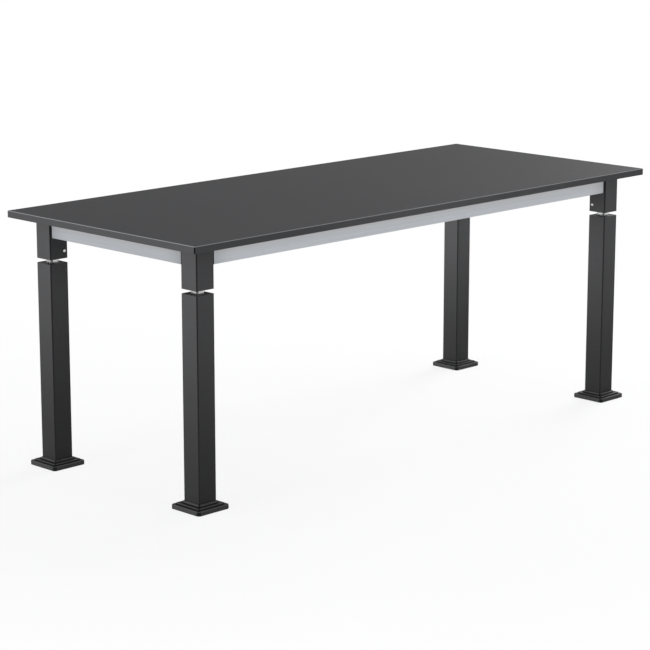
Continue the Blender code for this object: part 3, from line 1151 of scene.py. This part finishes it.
@dataclass(frozen=True)
class SocketScrew:
    """A screw that points down from z = 0, with a domed head and a hexagon socket."""

    radius: float
    length: float
    head_radius: float
    crown_radius: float
    head_height: float
    socket: float
    socket_depth: float
    rim: float = 0.0006
    rim_wear: float = 0.5
    dome_wear: float = 0.3
    steps: int = 36
    dome_steps: int = 6

    def mesh(self, name: str) -> bpy.types.Mesh:
        """Build the screw.

        Args:
            name: name of the mesh.

        Returns:
            Its mesh.
        """
        point = self.radius / 4
        mouth = self.socket / 2 / math.cos(math.pi / HEXAGON) + self.rim / 3
        rings = [
            round_ring(self.radius - point, -self.length, self.steps),
            round_ring(self.radius, point - self.length, self.steps),
            round_ring(self.radius, 0.0, self.steps),
            round_ring(self.head_radius - self.rim / 2, 0.0, self.steps),
            round_ring(self.head_radius, self.rim / 2, self.steps, self.rim_wear),
        ]
        for step in range(self.dome_steps + 1):
            angle = QUARTER * step / self.dome_steps
            spread = (self.head_radius - self.crown_radius) * math.cos(angle)
            height = self.rim + (self.head_height - self.rim) * math.sin(angle)
            rings.append(
                round_ring(self.crown_radius + spread, height, self.steps, self.dome_wear)
            )
        rings.append(round_ring(mouth, self.head_height, self.steps, 1.0))
        for drop in (self.rim / 2, self.socket_depth):
            rings.append(polygon_ring(HEXAGON, self.socket, self.head_height - drop, self.steps))
        return Shape.loft(rings).finished(name)


@dataclass(frozen=True)
class RailFrame:
    """Four aluminium rails with a top flange, a bottom lip and a bolt port, and their screws.

    Each end, where it meets a head, carries a matt black strip painted as the shadow of a gap, and
    painted shade darkens the metal towards it.
    """

    wall: float = 0.003
    flange: float = 0.030
    lip: float = 0.012
    port_depth: float = 0.012
    port_height: float = 0.015
    bolt_bore: float = 0.0043
    screw_bore: float = 0.0028
    screw_inset: float = 0.022
    outer_round: float = 0.0006
    inner_round: float = 0.0012
    # Width and edge values of the painted shadow strip at each end.
    band: float = 0.0036
    band_edge: float = 0.0002
    band_wear: float = -1.0
    # Painted shade over this length from each end.
    dim_length: float = 0.085
    dim_wear: float = -0.3
    screw: SocketScrew = SocketScrew(0.0025, 0.014, 0.005, 0.0036, 0.003, 0.003, 0.0016)

    def profile(self, depth: float) -> list[tuple[float, float]]:
        """Corners of the section.

        Args:
            depth: height of the rail.

        Returns:
            Distance behind the outer face and height, from 0 at the top, of each corner.
        """
        middle = -depth / 2
        port_top, port_bottom = middle + self.port_height / 2, middle - self.port_height / 2
        port_face = self.wall + self.port_depth
        return [
            (0.0, 0.0),
            (0.0, -depth),
            (self.lip, -depth),
            (self.lip, self.wall - depth),
            (self.wall, self.wall - depth),
            (self.wall, port_bottom),
            (port_face, port_bottom),
            (port_face, port_top),
            (self.wall, port_top),
            (self.wall, -self.wall),
            (self.flange, -self.wall),
            (self.flange, 0.0),
        ]

    def rounded_profile(self, depth: float, steps: int = 3) -> list[tuple[float, float, float]]:
        """The section with its corners rounded.

        Args:
            depth: height of the rail.
            steps: facets of each corner.

        Returns:
            Distance behind the outer face, height, and edge value of each point.
        """
        corners = [Vector(corner) for corner in self.profile(depth)]
        points = []
        for index, corner in enumerate(corners):
            back = (corners[index - 1] - corner).normalized()
            ahead = (corners[(index + 1) % len(corners)] - corner).normalized()
            outer = back.x * ahead.y - back.y * ahead.x < 0
            radius = self.outer_round if outer else self.inner_round
            centre = corner + radius * (back + ahead)
            for step in range(steps + 1):
                angle = QUARTER * step / steps
                spot = centre - radius * (ahead * math.cos(angle) + back * math.sin(angle))
                points.append((spot.x, spot.y, math.sin(2 * angle) if outer else 0.0))
        return points

    def mesh(
        self, name: str, length: float, depth: float, stations: Sequence[float]
    ) -> bpy.types.Mesh:
        """Build one rail along X, its outer face at y = 0 and its top at z = 0.

        Args:
            name: name of the mesh.
            length: length of the rail.
            depth: height of the rail.
            stations: places of its screws along its length.

        Returns:
            Its mesh.
        """
        section = self.rounded_profile(depth)
        end = length / 2
        end_shade_start = self.band + self.band_edge
        levels = ((0.0, self.band_wear), (self.band, self.band_wear), (end_shade_start, self.dim_wear))
        rings = [[Point(place - end, y, z, wear) for y, z, _ in section] for place, wear in levels]
        rings.append([Point(end_shade_start + self.dim_length - end, *spot) for spot in section])
        rings += [[point._replace(x=-point.x) for point in ring] for ring in reversed(rings)]
        bar = Shape.loft(rings).finished(name)
        reach = end + self.wall
        bore = Shape.rod(self.bolt_bore, -reach, reach).turned("Y", QUARTER)
        holes = [bore.moved((0.0, (self.wall + self.port_depth) / 2, -depth / 2))]
        for station in stations:
            hole = Shape.rod(self.screw_bore, -2 * self.wall, self.wall)
            holes.append(hole.moved((station, self.screw_inset, 0.0)))
        return combined(bar, holes, Cut.REMOVE)

    def build(self, shop: Workshop) -> None:
        """Build the rails and their screws and put them in place."""
        for side in Side:
            self.build_side(shop, side)

    def build_side(self, shop: Workshop, side: Side) -> None:
        """Build the rail and the screws of one side.

        Args:
            shop: the workshop.
            side: the side.
        """
        node, bar = f"{side.label}_rail", f"rail_bar_{side.label}"
        box = cad_box(node)
        low, high = box
        outward = side.turn @ Vector((0.0, -1.0, 0.0))
        half = (high - low) / 2
        reach = abs(outward.x) * half.x + abs(outward.y) * half.y
        seat = Vector((box.middle.x, box.middle.y, high.z)) + outward * reach
        matrix = Matrix.Translation(seat) @ side.turn
        length = 2 * (half.x if side in (Side.FRONT, Side.BACK) else half.y)
        prefix = f"top_screw_{side.label}_"
        screws = sorted(name for name in frame["nodes"] if name.startswith(prefix))
        places = {name: matrix.inverted() @ cad_box(name).middle for name in screws}
        stations = [place.x for place in places.values()]
        rail = shop.shared(bar, Slot.ALUMINIUM, self.mesh, length, high.z - low.z, stations)
        shop.place(bar, rail, Slot.ALUMINIUM, node, "frame", matrix)
        screw = shop.shared("worktop_screw", Slot.ZINC, self.screw.mesh)
        upside_down = Matrix.Rotation(math.pi, 4, "X")
        for name, place in places.items():
            head = cad_box(name).low.z + self.screw.head_height - high.z
            spot = matrix @ (Matrix.Translation((place.x, place.y, head)) @ upside_down)
            piece = name.replace("top_screw", "worktop_screw")
            shop.place(piece, screw, Slot.ZINC, name, "frame", spot)


@dataclass(frozen=True)
class LegParts:
    """Heads, inserts and tubes of the legs, made in one leg's own space, and the head screws.

    That space has its axis on the leg's own, with the two outward faces towards +X and +Y.
    """

    wall: float = 0.0025
    corner_radius: float = 0.003
    rim: float = 0.0005
    rim_bend: float = 0.3
    end_wear: float = 0.2
    rim_wear: float = 0.3
    crest_wear: float = 0.8
    bolt_bore: float = 0.0043
    bolt_offset: float = 0.0185
    bolt_drop: float = 0.02475
    screw_bore: float = 0.0033
    screw_offset: float = -0.0175
    screw_rise: float = 0.0215
    screw_depth: float = 0.0072
    journal_bore: float = 0.0083
    journal_wear: float = 0.6
    nut_bore: float = 0.0123
    # Painted light on the nut plate, which lies in the head's shade.
    nut_wear: float = -1.0
    bore_steps: int = 48
    insert_radius: float = 0.0005
    insert_chamfer: float = 0.0006
    insert_steps: int = 2
    # Height of the painted shadow above the boot.
    grime: float = 0.004
    screw: SocketScrew = SocketScrew(0.003, 0.0075, 0.0044, 0.0030, 0.0026, 0.0035, 0.0017)

    def tube(self, name: str, box: Box, boot_top: float | None = None) -> bpy.types.Mesh:
        """A length of square tube with softened rims.

        Args:
            name: name of the mesh.
            box: box of the CAD tube.
            boot_top: height of the boot round its lower end, above which painted shadow darkens the
                tube.

        Returns:
            Its mesh.
        """
        low, high = box.low.z, box.high.z
        rim, bend = self.rim, self.rim * self.rim_bend
        outside = [(rim * (1 - self.rim_bend), low, self.end_wear), (0.0, low + rim, self.rim_wear)]
        # Painted shadow: a dark strip fades up from the boot's top.
        if boot_top is not None:
            outside += [(0.0, boot_top, 1.0), (0.0, boot_top + self.grime, 0.0)]
        outside += [
            (0.0, high - rim, self.rim_wear),
            (bend, high - bend, self.crest_wear),
            (rim, high, self.rim_wear),
        ]
        # Each ring's corners carry painted shade, from its last argument.
        rings = [
            square_ring(
                box.half - inset, self.corner_radius - inset, height, CORNER_STEPS, wear, 1.0
            )
            for inset, height, wear in outside
        ]
        bore, radius = box.half - self.wall, self.corner_radius - self.wall
        inside = ((rim, high), (0.0, high - rim), (0.0, low + rim), (rim, low))
        rings += [square_ring(bore + spread, radius + spread, height) for spread, height in inside]
        return Shape.loft(rings, closed=True).finished(name)

    def inward_holes(
        self, half: float, radius: float, offset: float, height: float, depth: float
    ) -> list[Shape]:
        """Holes into the two inward faces, which look along -X and -Y.

        Args:
            half: half the side of the tube.
            radius: radius of the holes.
            offset: place of the holes across the faces.
            height: place of the holes along Z.
            depth: depth below the faces.

        Returns:
            The two shapes to cut out.
        """
        start, end = -half - self.wall, depth - half
        along_x = Shape.rod(radius, start, end).turned("Y", QUARTER).moved((0.0, offset, height))
        along_y = Shape.rod(radius, start, end).turned("X", -QUARTER).moved((offset, 0.0, height))
        return [along_x, along_y]

    def screw_holes(self, head: Box, depth: float) -> list[Shape]:
        """Holes for the two screws of a head, to a depth below its faces."""
        height = head.low.z + self.screw_rise
        return self.inward_holes(head.half, self.screw_bore, self.screw_offset, height, depth)

    def insert(
        self, name: str, box: Box, bore: float, wear: float, holes: Sequence[Shape]
    ) -> bpy.types.Mesh:
        """A chamfered square block with a round bore.

        Args:
            name: name of the mesh.
            box: box of the CAD block.
            bore: radius of its bore.
            wear: edge value of its ends and its bore.
            holes: other shapes to cut out.

        Returns:
            Its mesh.
        """
        low, high, edge = box.low.z, box.high.z, self.insert_chamfer
        flare = bore + 2 * edge
        levels = (
            (edge, low, wear),
            (0.0, low + edge, 0.0),
            (0.0, high - edge, 0.0),
            (edge, high, wear),
        )
        block = Shape.loft([
            square_ring(box.half - inset, self.insert_radius, height, self.insert_steps, value)
            for inset, height, value in levels
        ])
        lower, upper = (flare, low - edge), (flare, high + edge)
        stations = (lower, (bore, low + edge), (bore, high - edge), upper)
        through = Shape.loft([
            round_ring(radius, height, self.bore_steps, wear) for radius, height in stations
        ])
        return combined(block.finished(name), [through, *holes], Cut.REMOVE)

    def head(self, name: str, label: str) -> bpy.types.Mesh:
        """The head tube with its bolt and screw holes.

        Args:
            name: name of the mesh.
            label: corner whose CAD nodes give the sizes.

        Returns:
            Its mesh.
        """
        box = cad_box(f"leg_head_{label}")
        deep, height = 2 * self.wall, box.high.z - self.bolt_drop
        holes = self.inward_holes(box.half, self.bolt_bore, self.bolt_offset, height, deep)
        holes += self.screw_holes(box, deep)
        return combined(self.tube(name, box), holes, Cut.REMOVE)

    def bearing(self, name: str, label: str) -> bpy.types.Mesh:
        """The block in the head, with the journal's bore and its screw holes.

        Args:
            name: name of the mesh.
            label: corner whose CAD nodes give the sizes.

        Returns:
            Its mesh.
        """
        box = cad_box(f"bearing_block_{label}")
        holes = self.screw_holes(cad_box(f"leg_head_{label}"), self.screw_depth)
        return self.insert(name, box, self.journal_bore, self.journal_wear, holes)

    def post(self, name: str, label: str) -> bpy.types.Mesh:
        """The long tube, with painted shadow just above the boot."""
        return self.tube(name, cad_box(f"leg_tube_{label}"), cad_box(f"foot_{label}").high.z)

    def nut(self, name: str, label: str) -> bpy.types.Mesh:
        """The plate in the tube's mouth, whose top and bore carry painted light."""
        return self.insert(name, cad_box(f"nut_plate_{label}"), self.nut_bore, self.nut_wear, [])

    def screw_seat(self, node: str, matrix: Matrix, number: int) -> Vector:
        """Place under a head screw's own head, in the leg's own space.

        Args:
            node: CAD node of the screw.
            matrix: the leg's own space.
            number: 1 for the face towards -X, 2 for the one towards -Y.

        Returns:
            The place.
        """
        inverse = matrix.inverted()
        corners = [inverse @ point for point in cad_box(node)]
        low = Vector(map(min, *corners))
        high = Vector(map(max, *corners))
        seat = (low + high) / 2
        seat[number - 1] = low[number - 1] + self.screw.head_height
        return seat

    def build(self, shop: Workshop, corner: Corner) -> None:
        """Put one leg's tubes, inserts and screws in place.

        Args:
            shop: the workshop.
            corner: the leg's corner.
        """
        label, matrix = corner.label, leg_matrix(corner)
        rows = (
            ("head_sleeve", self.head, Slot.PAINT, "leg_head", "frame"),
            ("bearing_bush", self.bearing, Slot.STEEL, "bearing_block", "frame"),
            ("leg_post", self.post, Slot.PAINT, "leg_tube", f"leg_{label}"),
            ("nut_bush", self.nut, Slot.PAINT, "nut_plate", f"leg_{label}"),
        )
        for piece, make, slot, node, body in rows:
            mesh = shop.shared(piece, slot, make, label)
            shop.place(f"{piece}_{label}", mesh, slot, f"{node}_{label}", body, matrix)
        screw = shop.shared("block_screw", Slot.ZINC, self.screw.mesh)
        for number, (axis, angle) in enumerate((("Y", -QUARTER), ("X", QUARTER)), 1):
            node = f"head_screw_{label}_{number}"
            seat = self.screw_seat(node, matrix, number)
            spot = matrix @ Matrix.Translation(seat) @ Matrix.Rotation(angle, 4, axis)
            shop.place(f"block_screw_{label}_{number}", screw, Slot.ZINC, node, "frame", spot)


@dataclass(frozen=True)
class Foot:
    """A stepped rubber boot round the lower end of a leg tube."""

    base_height: float = 0.012
    middle_height: float = 0.0042
    upper_height: float = 0.0058
    base_ledge: float = 0.0095
    middle_ledge: float = 0.0105
    lip: float = 0.005
    lip_land: float = 0.0012
    slope: float = 0.0028
    floor: float = 0.006
    base_radius: float = 0.009
    step_radius: float = 0.004
    socket_radius: float = 0.003
    sole_edge: float = 0.0008
    base_edge: float = 0.0018
    step_edge: float = 0.0009
    nook: float = 0.0006
    # Painted shade in the nook fillets.
    nook_wear: float = -1.0
    clearance: float = 0.0003
    brow_wear: float = 0.4
    # Painted shade at the land round the socket.
    land_wear: float = -0.3
    # Painted shade on the boot's round corners.
    corner_wear: float = -0.9
    corner_steps: int = 8

    def ring(self, half: float, radius: float, height: float, wear: float = 0.0) -> Ring:
        """Square outline at a height, with round corners darkened by painted shade."""
        return square_ring(half, radius, height, self.corner_steps, wear, self.corner_wear)

    def nook_rings(self, half: float, radius: float, height: float, steps: int = 3) -> list[Ring]:
        """A small fillet in the nook between a ledge and the step above it, painted dark as shade.

        Args:
            half: half the side of the step.
            radius: radius of the step's corners.
            height: height of the ledge.
            steps: facets of the fillet.

        Returns:
            Its outlines from the ledge upwards.
        """
        rings = []
        for step in range(steps + 1):
            angle = QUARTER * step / steps
            out = self.nook * (1 - math.sin(angle))
            rise = self.nook * (1 - math.cos(angle))
            rings.append(self.ring(half + out, radius + out, height + rise, self.nook_wear))
        return rings

    def edge_rings(self, half: float, radius: float, top: float, edge: float) -> list[Ring]:
        """A rounded upper edge of one step.

        Args:
            half: half the side of the step.
            radius: radius of the step's corners.
            top: height of the step.
            edge: radius of the edge.

        Returns:
            Its outlines from the side to the top.
        """
        return [
            self.ring(half - inset, radius - inset, top - edge + rise, wear)
            for inset, rise, wear in round_over(edge)
        ]

    def mesh(self, name: str, leg_half: float) -> bpy.types.Mesh:
        """Build the boot.

        Args:
            name: name of the mesh.
            leg_half: half the side of the leg tube.

        Returns:
            Its mesh.
        """
        upper = leg_half + self.lip
        middle = upper + self.middle_ledge
        base = middle + self.base_ledge
        middle_top = self.base_height + self.middle_height
        top = middle_top + self.upper_height
        brow = top - self.slope
        socket = leg_half + self.clearance
        land = socket + self.lip_land
        half_nook, quarter_nook = self.nook / 2, self.nook / 4
        rings = [
            self.ring(base - inset, self.base_radius - inset, self.sole_edge - rise, wear)
            for inset, rise, wear in reversed(list(round_over(self.sole_edge)))
        ]
        rings[0] = [point._replace(wear=0.0) for point in rings[0]]
        rings += self.edge_rings(base, self.base_radius, self.base_height, self.base_edge)
        rings += self.nook_rings(middle, self.step_radius, self.base_height)
        rings += self.edge_rings(middle, self.step_radius, middle_top, self.step_edge)
        rings += self.nook_rings(upper, self.step_radius, middle_top)
        rings += [
            self.ring(upper, self.step_radius, brow - half_nook),
            self.ring(upper - half_nook, self.step_radius, brow + quarter_nook, self.brow_wear),
            self.ring(land + half_nook, self.socket_radius, top - quarter_nook, self.land_wear),
            self.ring(land - quarter_nook, self.socket_radius, top),
            self.ring(socket + half_nook, self.socket_radius, top),
            self.ring(socket, self.socket_radius, top - half_nook),
            square_ring(socket, self.socket_radius, self.floor, self.corner_steps),
        ]
        return Shape.loft(rings).finished(name)

    def build(self, shop: Workshop, corner: Corner) -> None:
        """Put one boot in place.

        Args:
            shop: the workshop.
            corner: the leg's corner.
        """
        label, matrix = corner.label, leg_matrix(corner)
        half = cad_box(f"leg_tube_{label}").half
        mesh = shop.shared("boot", Slot.RUBBER, self.mesh, half)
        shop.place(f"boot_{label}", mesh, Slot.RUBBER, f"foot_{label}", f"leg_{label}", matrix)


@dataclass(frozen=True)
class JackScrew:
    """A levelling screw: journal with a ring groove, square collar, thread and plain point."""

    journal_radius: float = 0.008
    groove_radius: float = 0.007
    groove_width: float = 0.0021
    collar_sides: int = 4
    collar_flats: float = 0.0294
    collar_turned: float = 0.0172
    # The turned corners carry painted shade.
    turned_wear: float = -1.0
    collar_height: float = 0.0112
    thread_radius: float = 0.012
    root_radius: float = 0.00925
    pitch: float = 0.005
    crest_start: float = 0.30
    crest_end: float = 0.52
    flank_end: float = 0.82
    crest_wear: float = 0.8
    thread_length: float = 0.070
    point_radius: float = 0.0085
    seat_gap: float = 0.0003
    edge: float = 0.0006
    end_wear: float = 0.5
    steps: int = 48

    def collar_rings(self, bottom: float, top: float) -> list[Ring]:
        """The square with turned corners, its edges softened above and below.

        Args:
            bottom: height of its lower face.
            top: height of its upper face.

        Returns:
            Its outlines from the lower face to the upper one.
        """
        edges = [(inset, self.edge - rise, wear) for inset, rise, wear in round_over(self.edge)]
        levels = [(inset, bottom + rise, wear) for inset, rise, wear in reversed(edges)]
        levels += [(inset, top - rise, wear) for inset, rise, wear in edges]
        return [
            polygon_ring(
                self.collar_sides, self.collar_flats - 2 * inset, height, self.steps,
                self.collar_turned - inset, wear, self.turned_wear,
            )
            for inset, height, wear in levels
        ]

    def thread(self, bottom: float, top: float) -> Shape:
        """A closed right-hand trapezoidal thread along Z.

        Args:
            bottom: where its lowest root starts.
            top: where its highest root ends.

        Returns:
            The shape, with a fan of faces at each end.
        """
        shape = Shape()
        steps = self.steps
        section = (
            (0.0, self.root_radius, 0.0),
            (self.crest_start, self.thread_radius, self.crest_wear),
            (self.crest_end, self.thread_radius, self.crest_wear),
            (self.flank_end, self.root_radius, 0.0),
        )
        count = round(steps * (top - bottom) / self.pitch)
        lines = []
        for part, (share, radius, wear) in enumerate(section):
            line = []
            for index in range(count + 1 if part else count + steps + 1):
                angle = FULL_TURN * index / steps
                height = bottom + self.pitch * (index / steps + share)
                point = Point(radius * math.cos(angle), radius * math.sin(angle), height, wear)
                line.append(shape.vertex(point))
            lines.append(line)
        above = lines[0][steps:]
        for low, high in zip(lines, [*lines[1:], above]):
            for index in range(count):
                shape.mesh.faces.new((low[index], low[index + 1], high[index + 1], high[index]))
        for start in (0, count):
            rim = lines[0][start:start + steps + 1] + [line[start] for line in reversed(lines[1:])]
            hub = shape.vertex(Point(0.0, 0.0, lines[0][start].co.z))
            for index, point in enumerate(rim):
                shape.mesh.faces.new((hub, point, rim[index - 1]))
        return shape

    def mesh(self, name: str, label: str) -> bpy.types.Mesh:
        """Build the screw.

        Args:
            name: name of the mesh.
            label: corner whose CAD nodes give the sizes.

        Returns:
            Its mesh.
        """
        low, high = cad_box(f"jack_screw_{label}")
        steps, edge, journal, tip = self.steps, self.edge, self.journal_radius, self.point_radius
        collar_top = cad_box(f"leg_head_{label}").low.z - self.seat_gap
        collar_bottom = collar_top - self.collar_height
        groove_bottom = cad_box(f"bearing_block_{label}").high.z
        groove_top = groove_bottom + self.groove_width
        rings = [
            round_ring(tip - 2 * edge, low.z, steps, self.end_wear),
            round_ring(tip, low.z + edge, steps, self.end_wear),
            round_ring(tip, collar_bottom, steps),
            *self.collar_rings(collar_bottom, collar_top),
            round_ring(journal, collar_top, steps),
            round_ring(journal, groove_bottom, steps),
            round_ring(self.groove_radius, groove_bottom, steps),
            round_ring(self.groove_radius, groove_top, steps),
            round_ring(journal, groove_top, steps),
            round_ring(journal, high.z - edge, steps, self.end_wear),
            round_ring(journal - edge, high.z, steps, self.end_wear),
        ]
        body = Shape.loft(rings).finished(name)
        thread = self.thread(collar_bottom - self.thread_length, collar_top - self.pitch)
        return combined(body, [thread], Cut.JOIN)

    def build(self, shop: Workshop, corner: Corner) -> None:
        """Put one screw in place and dress its ring.

        Args:
            shop: the workshop.
            corner: the leg's corner.
        """
        label, matrix = corner.label, leg_matrix(corner)
        piece, node, body = f"levelling_screw_{label}", f"jack_screw_{label}", f"screw_{label}"
        mesh = shop.shared("levelling_screw", Slot.ZINC, self.mesh, label)
        shop.place(piece, mesh, Slot.ZINC, node, body, matrix)
        shop.dress(f"retaining_ring_{label}", Slot.ZINC)


# Studio


@dataclass(frozen=True)
class Softbox:
    """One rectangular area lamp, not seen itself, and mirrored only where it says so."""

    name: str
    place: Offset
    target: Offset
    width: float
    height: float
    power: float
    spread: float = 180.0
    mirrored: bool = False

    def build(self) -> None:
        """Add the lamp to the scene."""
        data = bpy.data.lights.new(self.name, "AREA")
        data.shape = "RECTANGLE"
        data.size = self.width
        data.size_y = self.height
        data.energy = self.power
        data.spread = math.radians(self.spread)
        lamp = bpy.data.objects.new(self.name, data)
        lamp.location = self.place
        lamp.visible_camera = False
        lamp.visible_glossy = self.mirrored
        aim = Vector(self.target) - Vector(self.place)
        lamp.rotation_euler = aim.to_track_quat("-Z", "Y").to_euler()
        bpy.context.scene.collection.objects.link(lamp)


@dataclass(frozen=True)
class Studio:
    """Pale floor, soft light and the camera."""

    camera_place: Offset = (-4.6829, -4.6051, 1.7746)
    camera_pitch: float = 77.451
    camera_yaw: float = -45.03
    lens: float = 127.76
    sensor: float = 36.0
    sky: float = 0.554
    sky_colour: Colour = (0.97, 0.985, 1.0)
    background: Colour = (1.0, 1.0, 1.0)
    floor_colour: Colour = (0.97, 0.97, 0.97)
    bounce_colour: Colour = (0.32, 0.32, 0.32)
    floor_half: float = 7.0
    floor_drop: float = 0.0004
    floor_clear: float = 0.85
    fade: Span = (1.2, 2.4)
    softboxes: tuple[Softbox, ...] = (
        Softbox("left_softbox", (-26.0, 0.6, 2.0), (0.0, 0.0, 0.5), 8.0, 3.2, 5500.0),
        Softbox("front_softbox", (1.2, -8.7, 1.8), (0.0, 0.0, 0.5), 2.0, 1.6, 150.0),
        Softbox("right_softbox", (6.0, 1.0, 2.4), (0.4, 0.0, 0.7), 3.0, 3.0, 400.0, mirrored=True),
        Softbox("low_softbox", (-3.0, -2.5, 0.15), (0.80, 0.27, 0.36), 0.20, 0.20, 1.35, 16.0),
    )

    @staticmethod
    def background_rays(sheet: NodeSheet) -> Signal:
        """Rays that show the white background: seen, mirrored or through glass.

        Args:
            sheet: node sheet of the world or the floor.

        Returns:
            1 for such a ray, or else 0.
        """
        camera = sheet.add("ShaderNodeLightPath", output="Is Camera Ray")
        seen = camera.at_least(camera.other("Is Glossy Ray"))
        return seen.at_least(camera.other("Is Transmission Ray"))

    def build_world(self) -> None:
        """White background with a plain level of light."""
        world = bpy.data.worlds.new("studio")
        world.use_nodes = True
        bpy.context.scene.world = world
        sheet = NodeSheet(world.node_tree)
        light, white = (
            sheet.add("ShaderNodeBackground", {}, {"Color": colour, "Strength": strength})
            for colour, strength in ((self.sky_colour, self.sky), (self.background, 1.0))
        )
        inputs = {0: self.background_rays(sheet), 1: light, 2: white}
        mixed = sheet.add("ShaderNodeMixShader", {}, inputs)
        sheet.add("ShaderNodeOutputWorld", {}, {"Surface": mixed})

    def floor_material(self) -> bpy.types.Material:
        """Matt floor, nearly clear to the eye, that fades out with the distance.

        Returns:
            The material.
        """
        material = bpy.data.materials.new("studio_floor")
        material.use_nodes = True
        sheet = NodeSheet(material.node_tree)
        point = sheet.add("ShaderNodeTexCoord", output="Object")
        reach = sheet.add("ShaderNodeVectorMath", {"operation": "LENGTH"}, {0: point}, "Value")
        seen = self.background_rays(sheet)
        clear = seen * (self.floor_clear + (1.0 - self.floor_clear) * reach.eased(*self.fade))
        colour = sheet.blend(seen, self.bounce_colour, self.floor_colour)
        matt = sheet.add("ShaderNodeBsdfDiffuse", {}, {"Color": colour})
        open_air = sheet.add("ShaderNodeBsdfTransparent")
        mixed = sheet.add("ShaderNodeMixShader", {}, {0: clear, 1: matt, 2: open_air})
        sheet.add("ShaderNodeOutputMaterial", {}, {"Surface": mixed})
        return material

    def build_floor(self) -> None:
        """A pale floor that keeps a faint shadow and fades into the white background."""
        half = self.floor_half
        corners = [(-half, -half, 0.0), (half, -half, 0.0), (half, half, 0.0), (-half, half, 0.0)]
        mesh = bpy.data.meshes.new("studio_floor")
        mesh.from_pydata(corners, [], [(0, 1, 2, 3)])
        mesh.materials.append(self.floor_material())
        floor = bpy.data.objects.new("studio_floor", mesh)
        floor.location = (0.0, 0.0, -self.floor_drop)
        bpy.context.scene.collection.objects.link(floor)

    def build_camera(self) -> None:
        """The camera at the photograph's viewpoint."""
        data = bpy.data.cameras.new("camera")
        data.lens = self.lens
        data.sensor_width = self.sensor
        camera = bpy.data.objects.new("camera", data)
        camera.location = self.camera_place
        pitch, yaw = math.radians(self.camera_pitch), math.radians(self.camera_yaw)
        camera.rotation_euler = (pitch, 0.0, yaw)
        bpy.context.scene.collection.objects.link(camera)
        bpy.context.scene.camera = camera

    def build(self) -> None:
        """Set up the whole studio."""
        bpy.context.scene.view_settings.view_transform = "Standard"
        self.build_world()
        self.build_floor()
        self.build_camera()
        for softbox in self.softboxes:
            softbox.build()


def clear_start_objects() -> None:
    """Remove what Blender's own start-up scene holds beside the CAD frame."""
    kept = set(frame["nodes"].values()) | set(frame["bodies"].values())
    for leftover in [each for each in bpy.data.objects if each not in kept]:
        bpy.data.objects.remove(leftover, do_unlink=True)


def main() -> None:
    """Build the studio, then the table's looks in order."""
    logging.basicConfig(level=logging.INFO, format="%(name)s: %(message)s")
    clear_start_objects()
    Studio().build()
    shop = Workshop()
    Worktop().build(shop)
    RailFrame().build(shop)
    leg, foot, screw = LegParts(), Foot(), JackScrew()
    for corner in Corner:
        leg.build(shop, corner)
        foot.build(shop, corner)
        screw.build(shop, corner)
    for node in sorted(frame["nodes"]):
        if node.startswith("rail_bolt_"):
            shop.dress(node, Slot.ZINC)
    LOG.info("%d pieces", shop.count)
    bpy.context.view_layer.update()


if __name__ == "__main__":
    main()
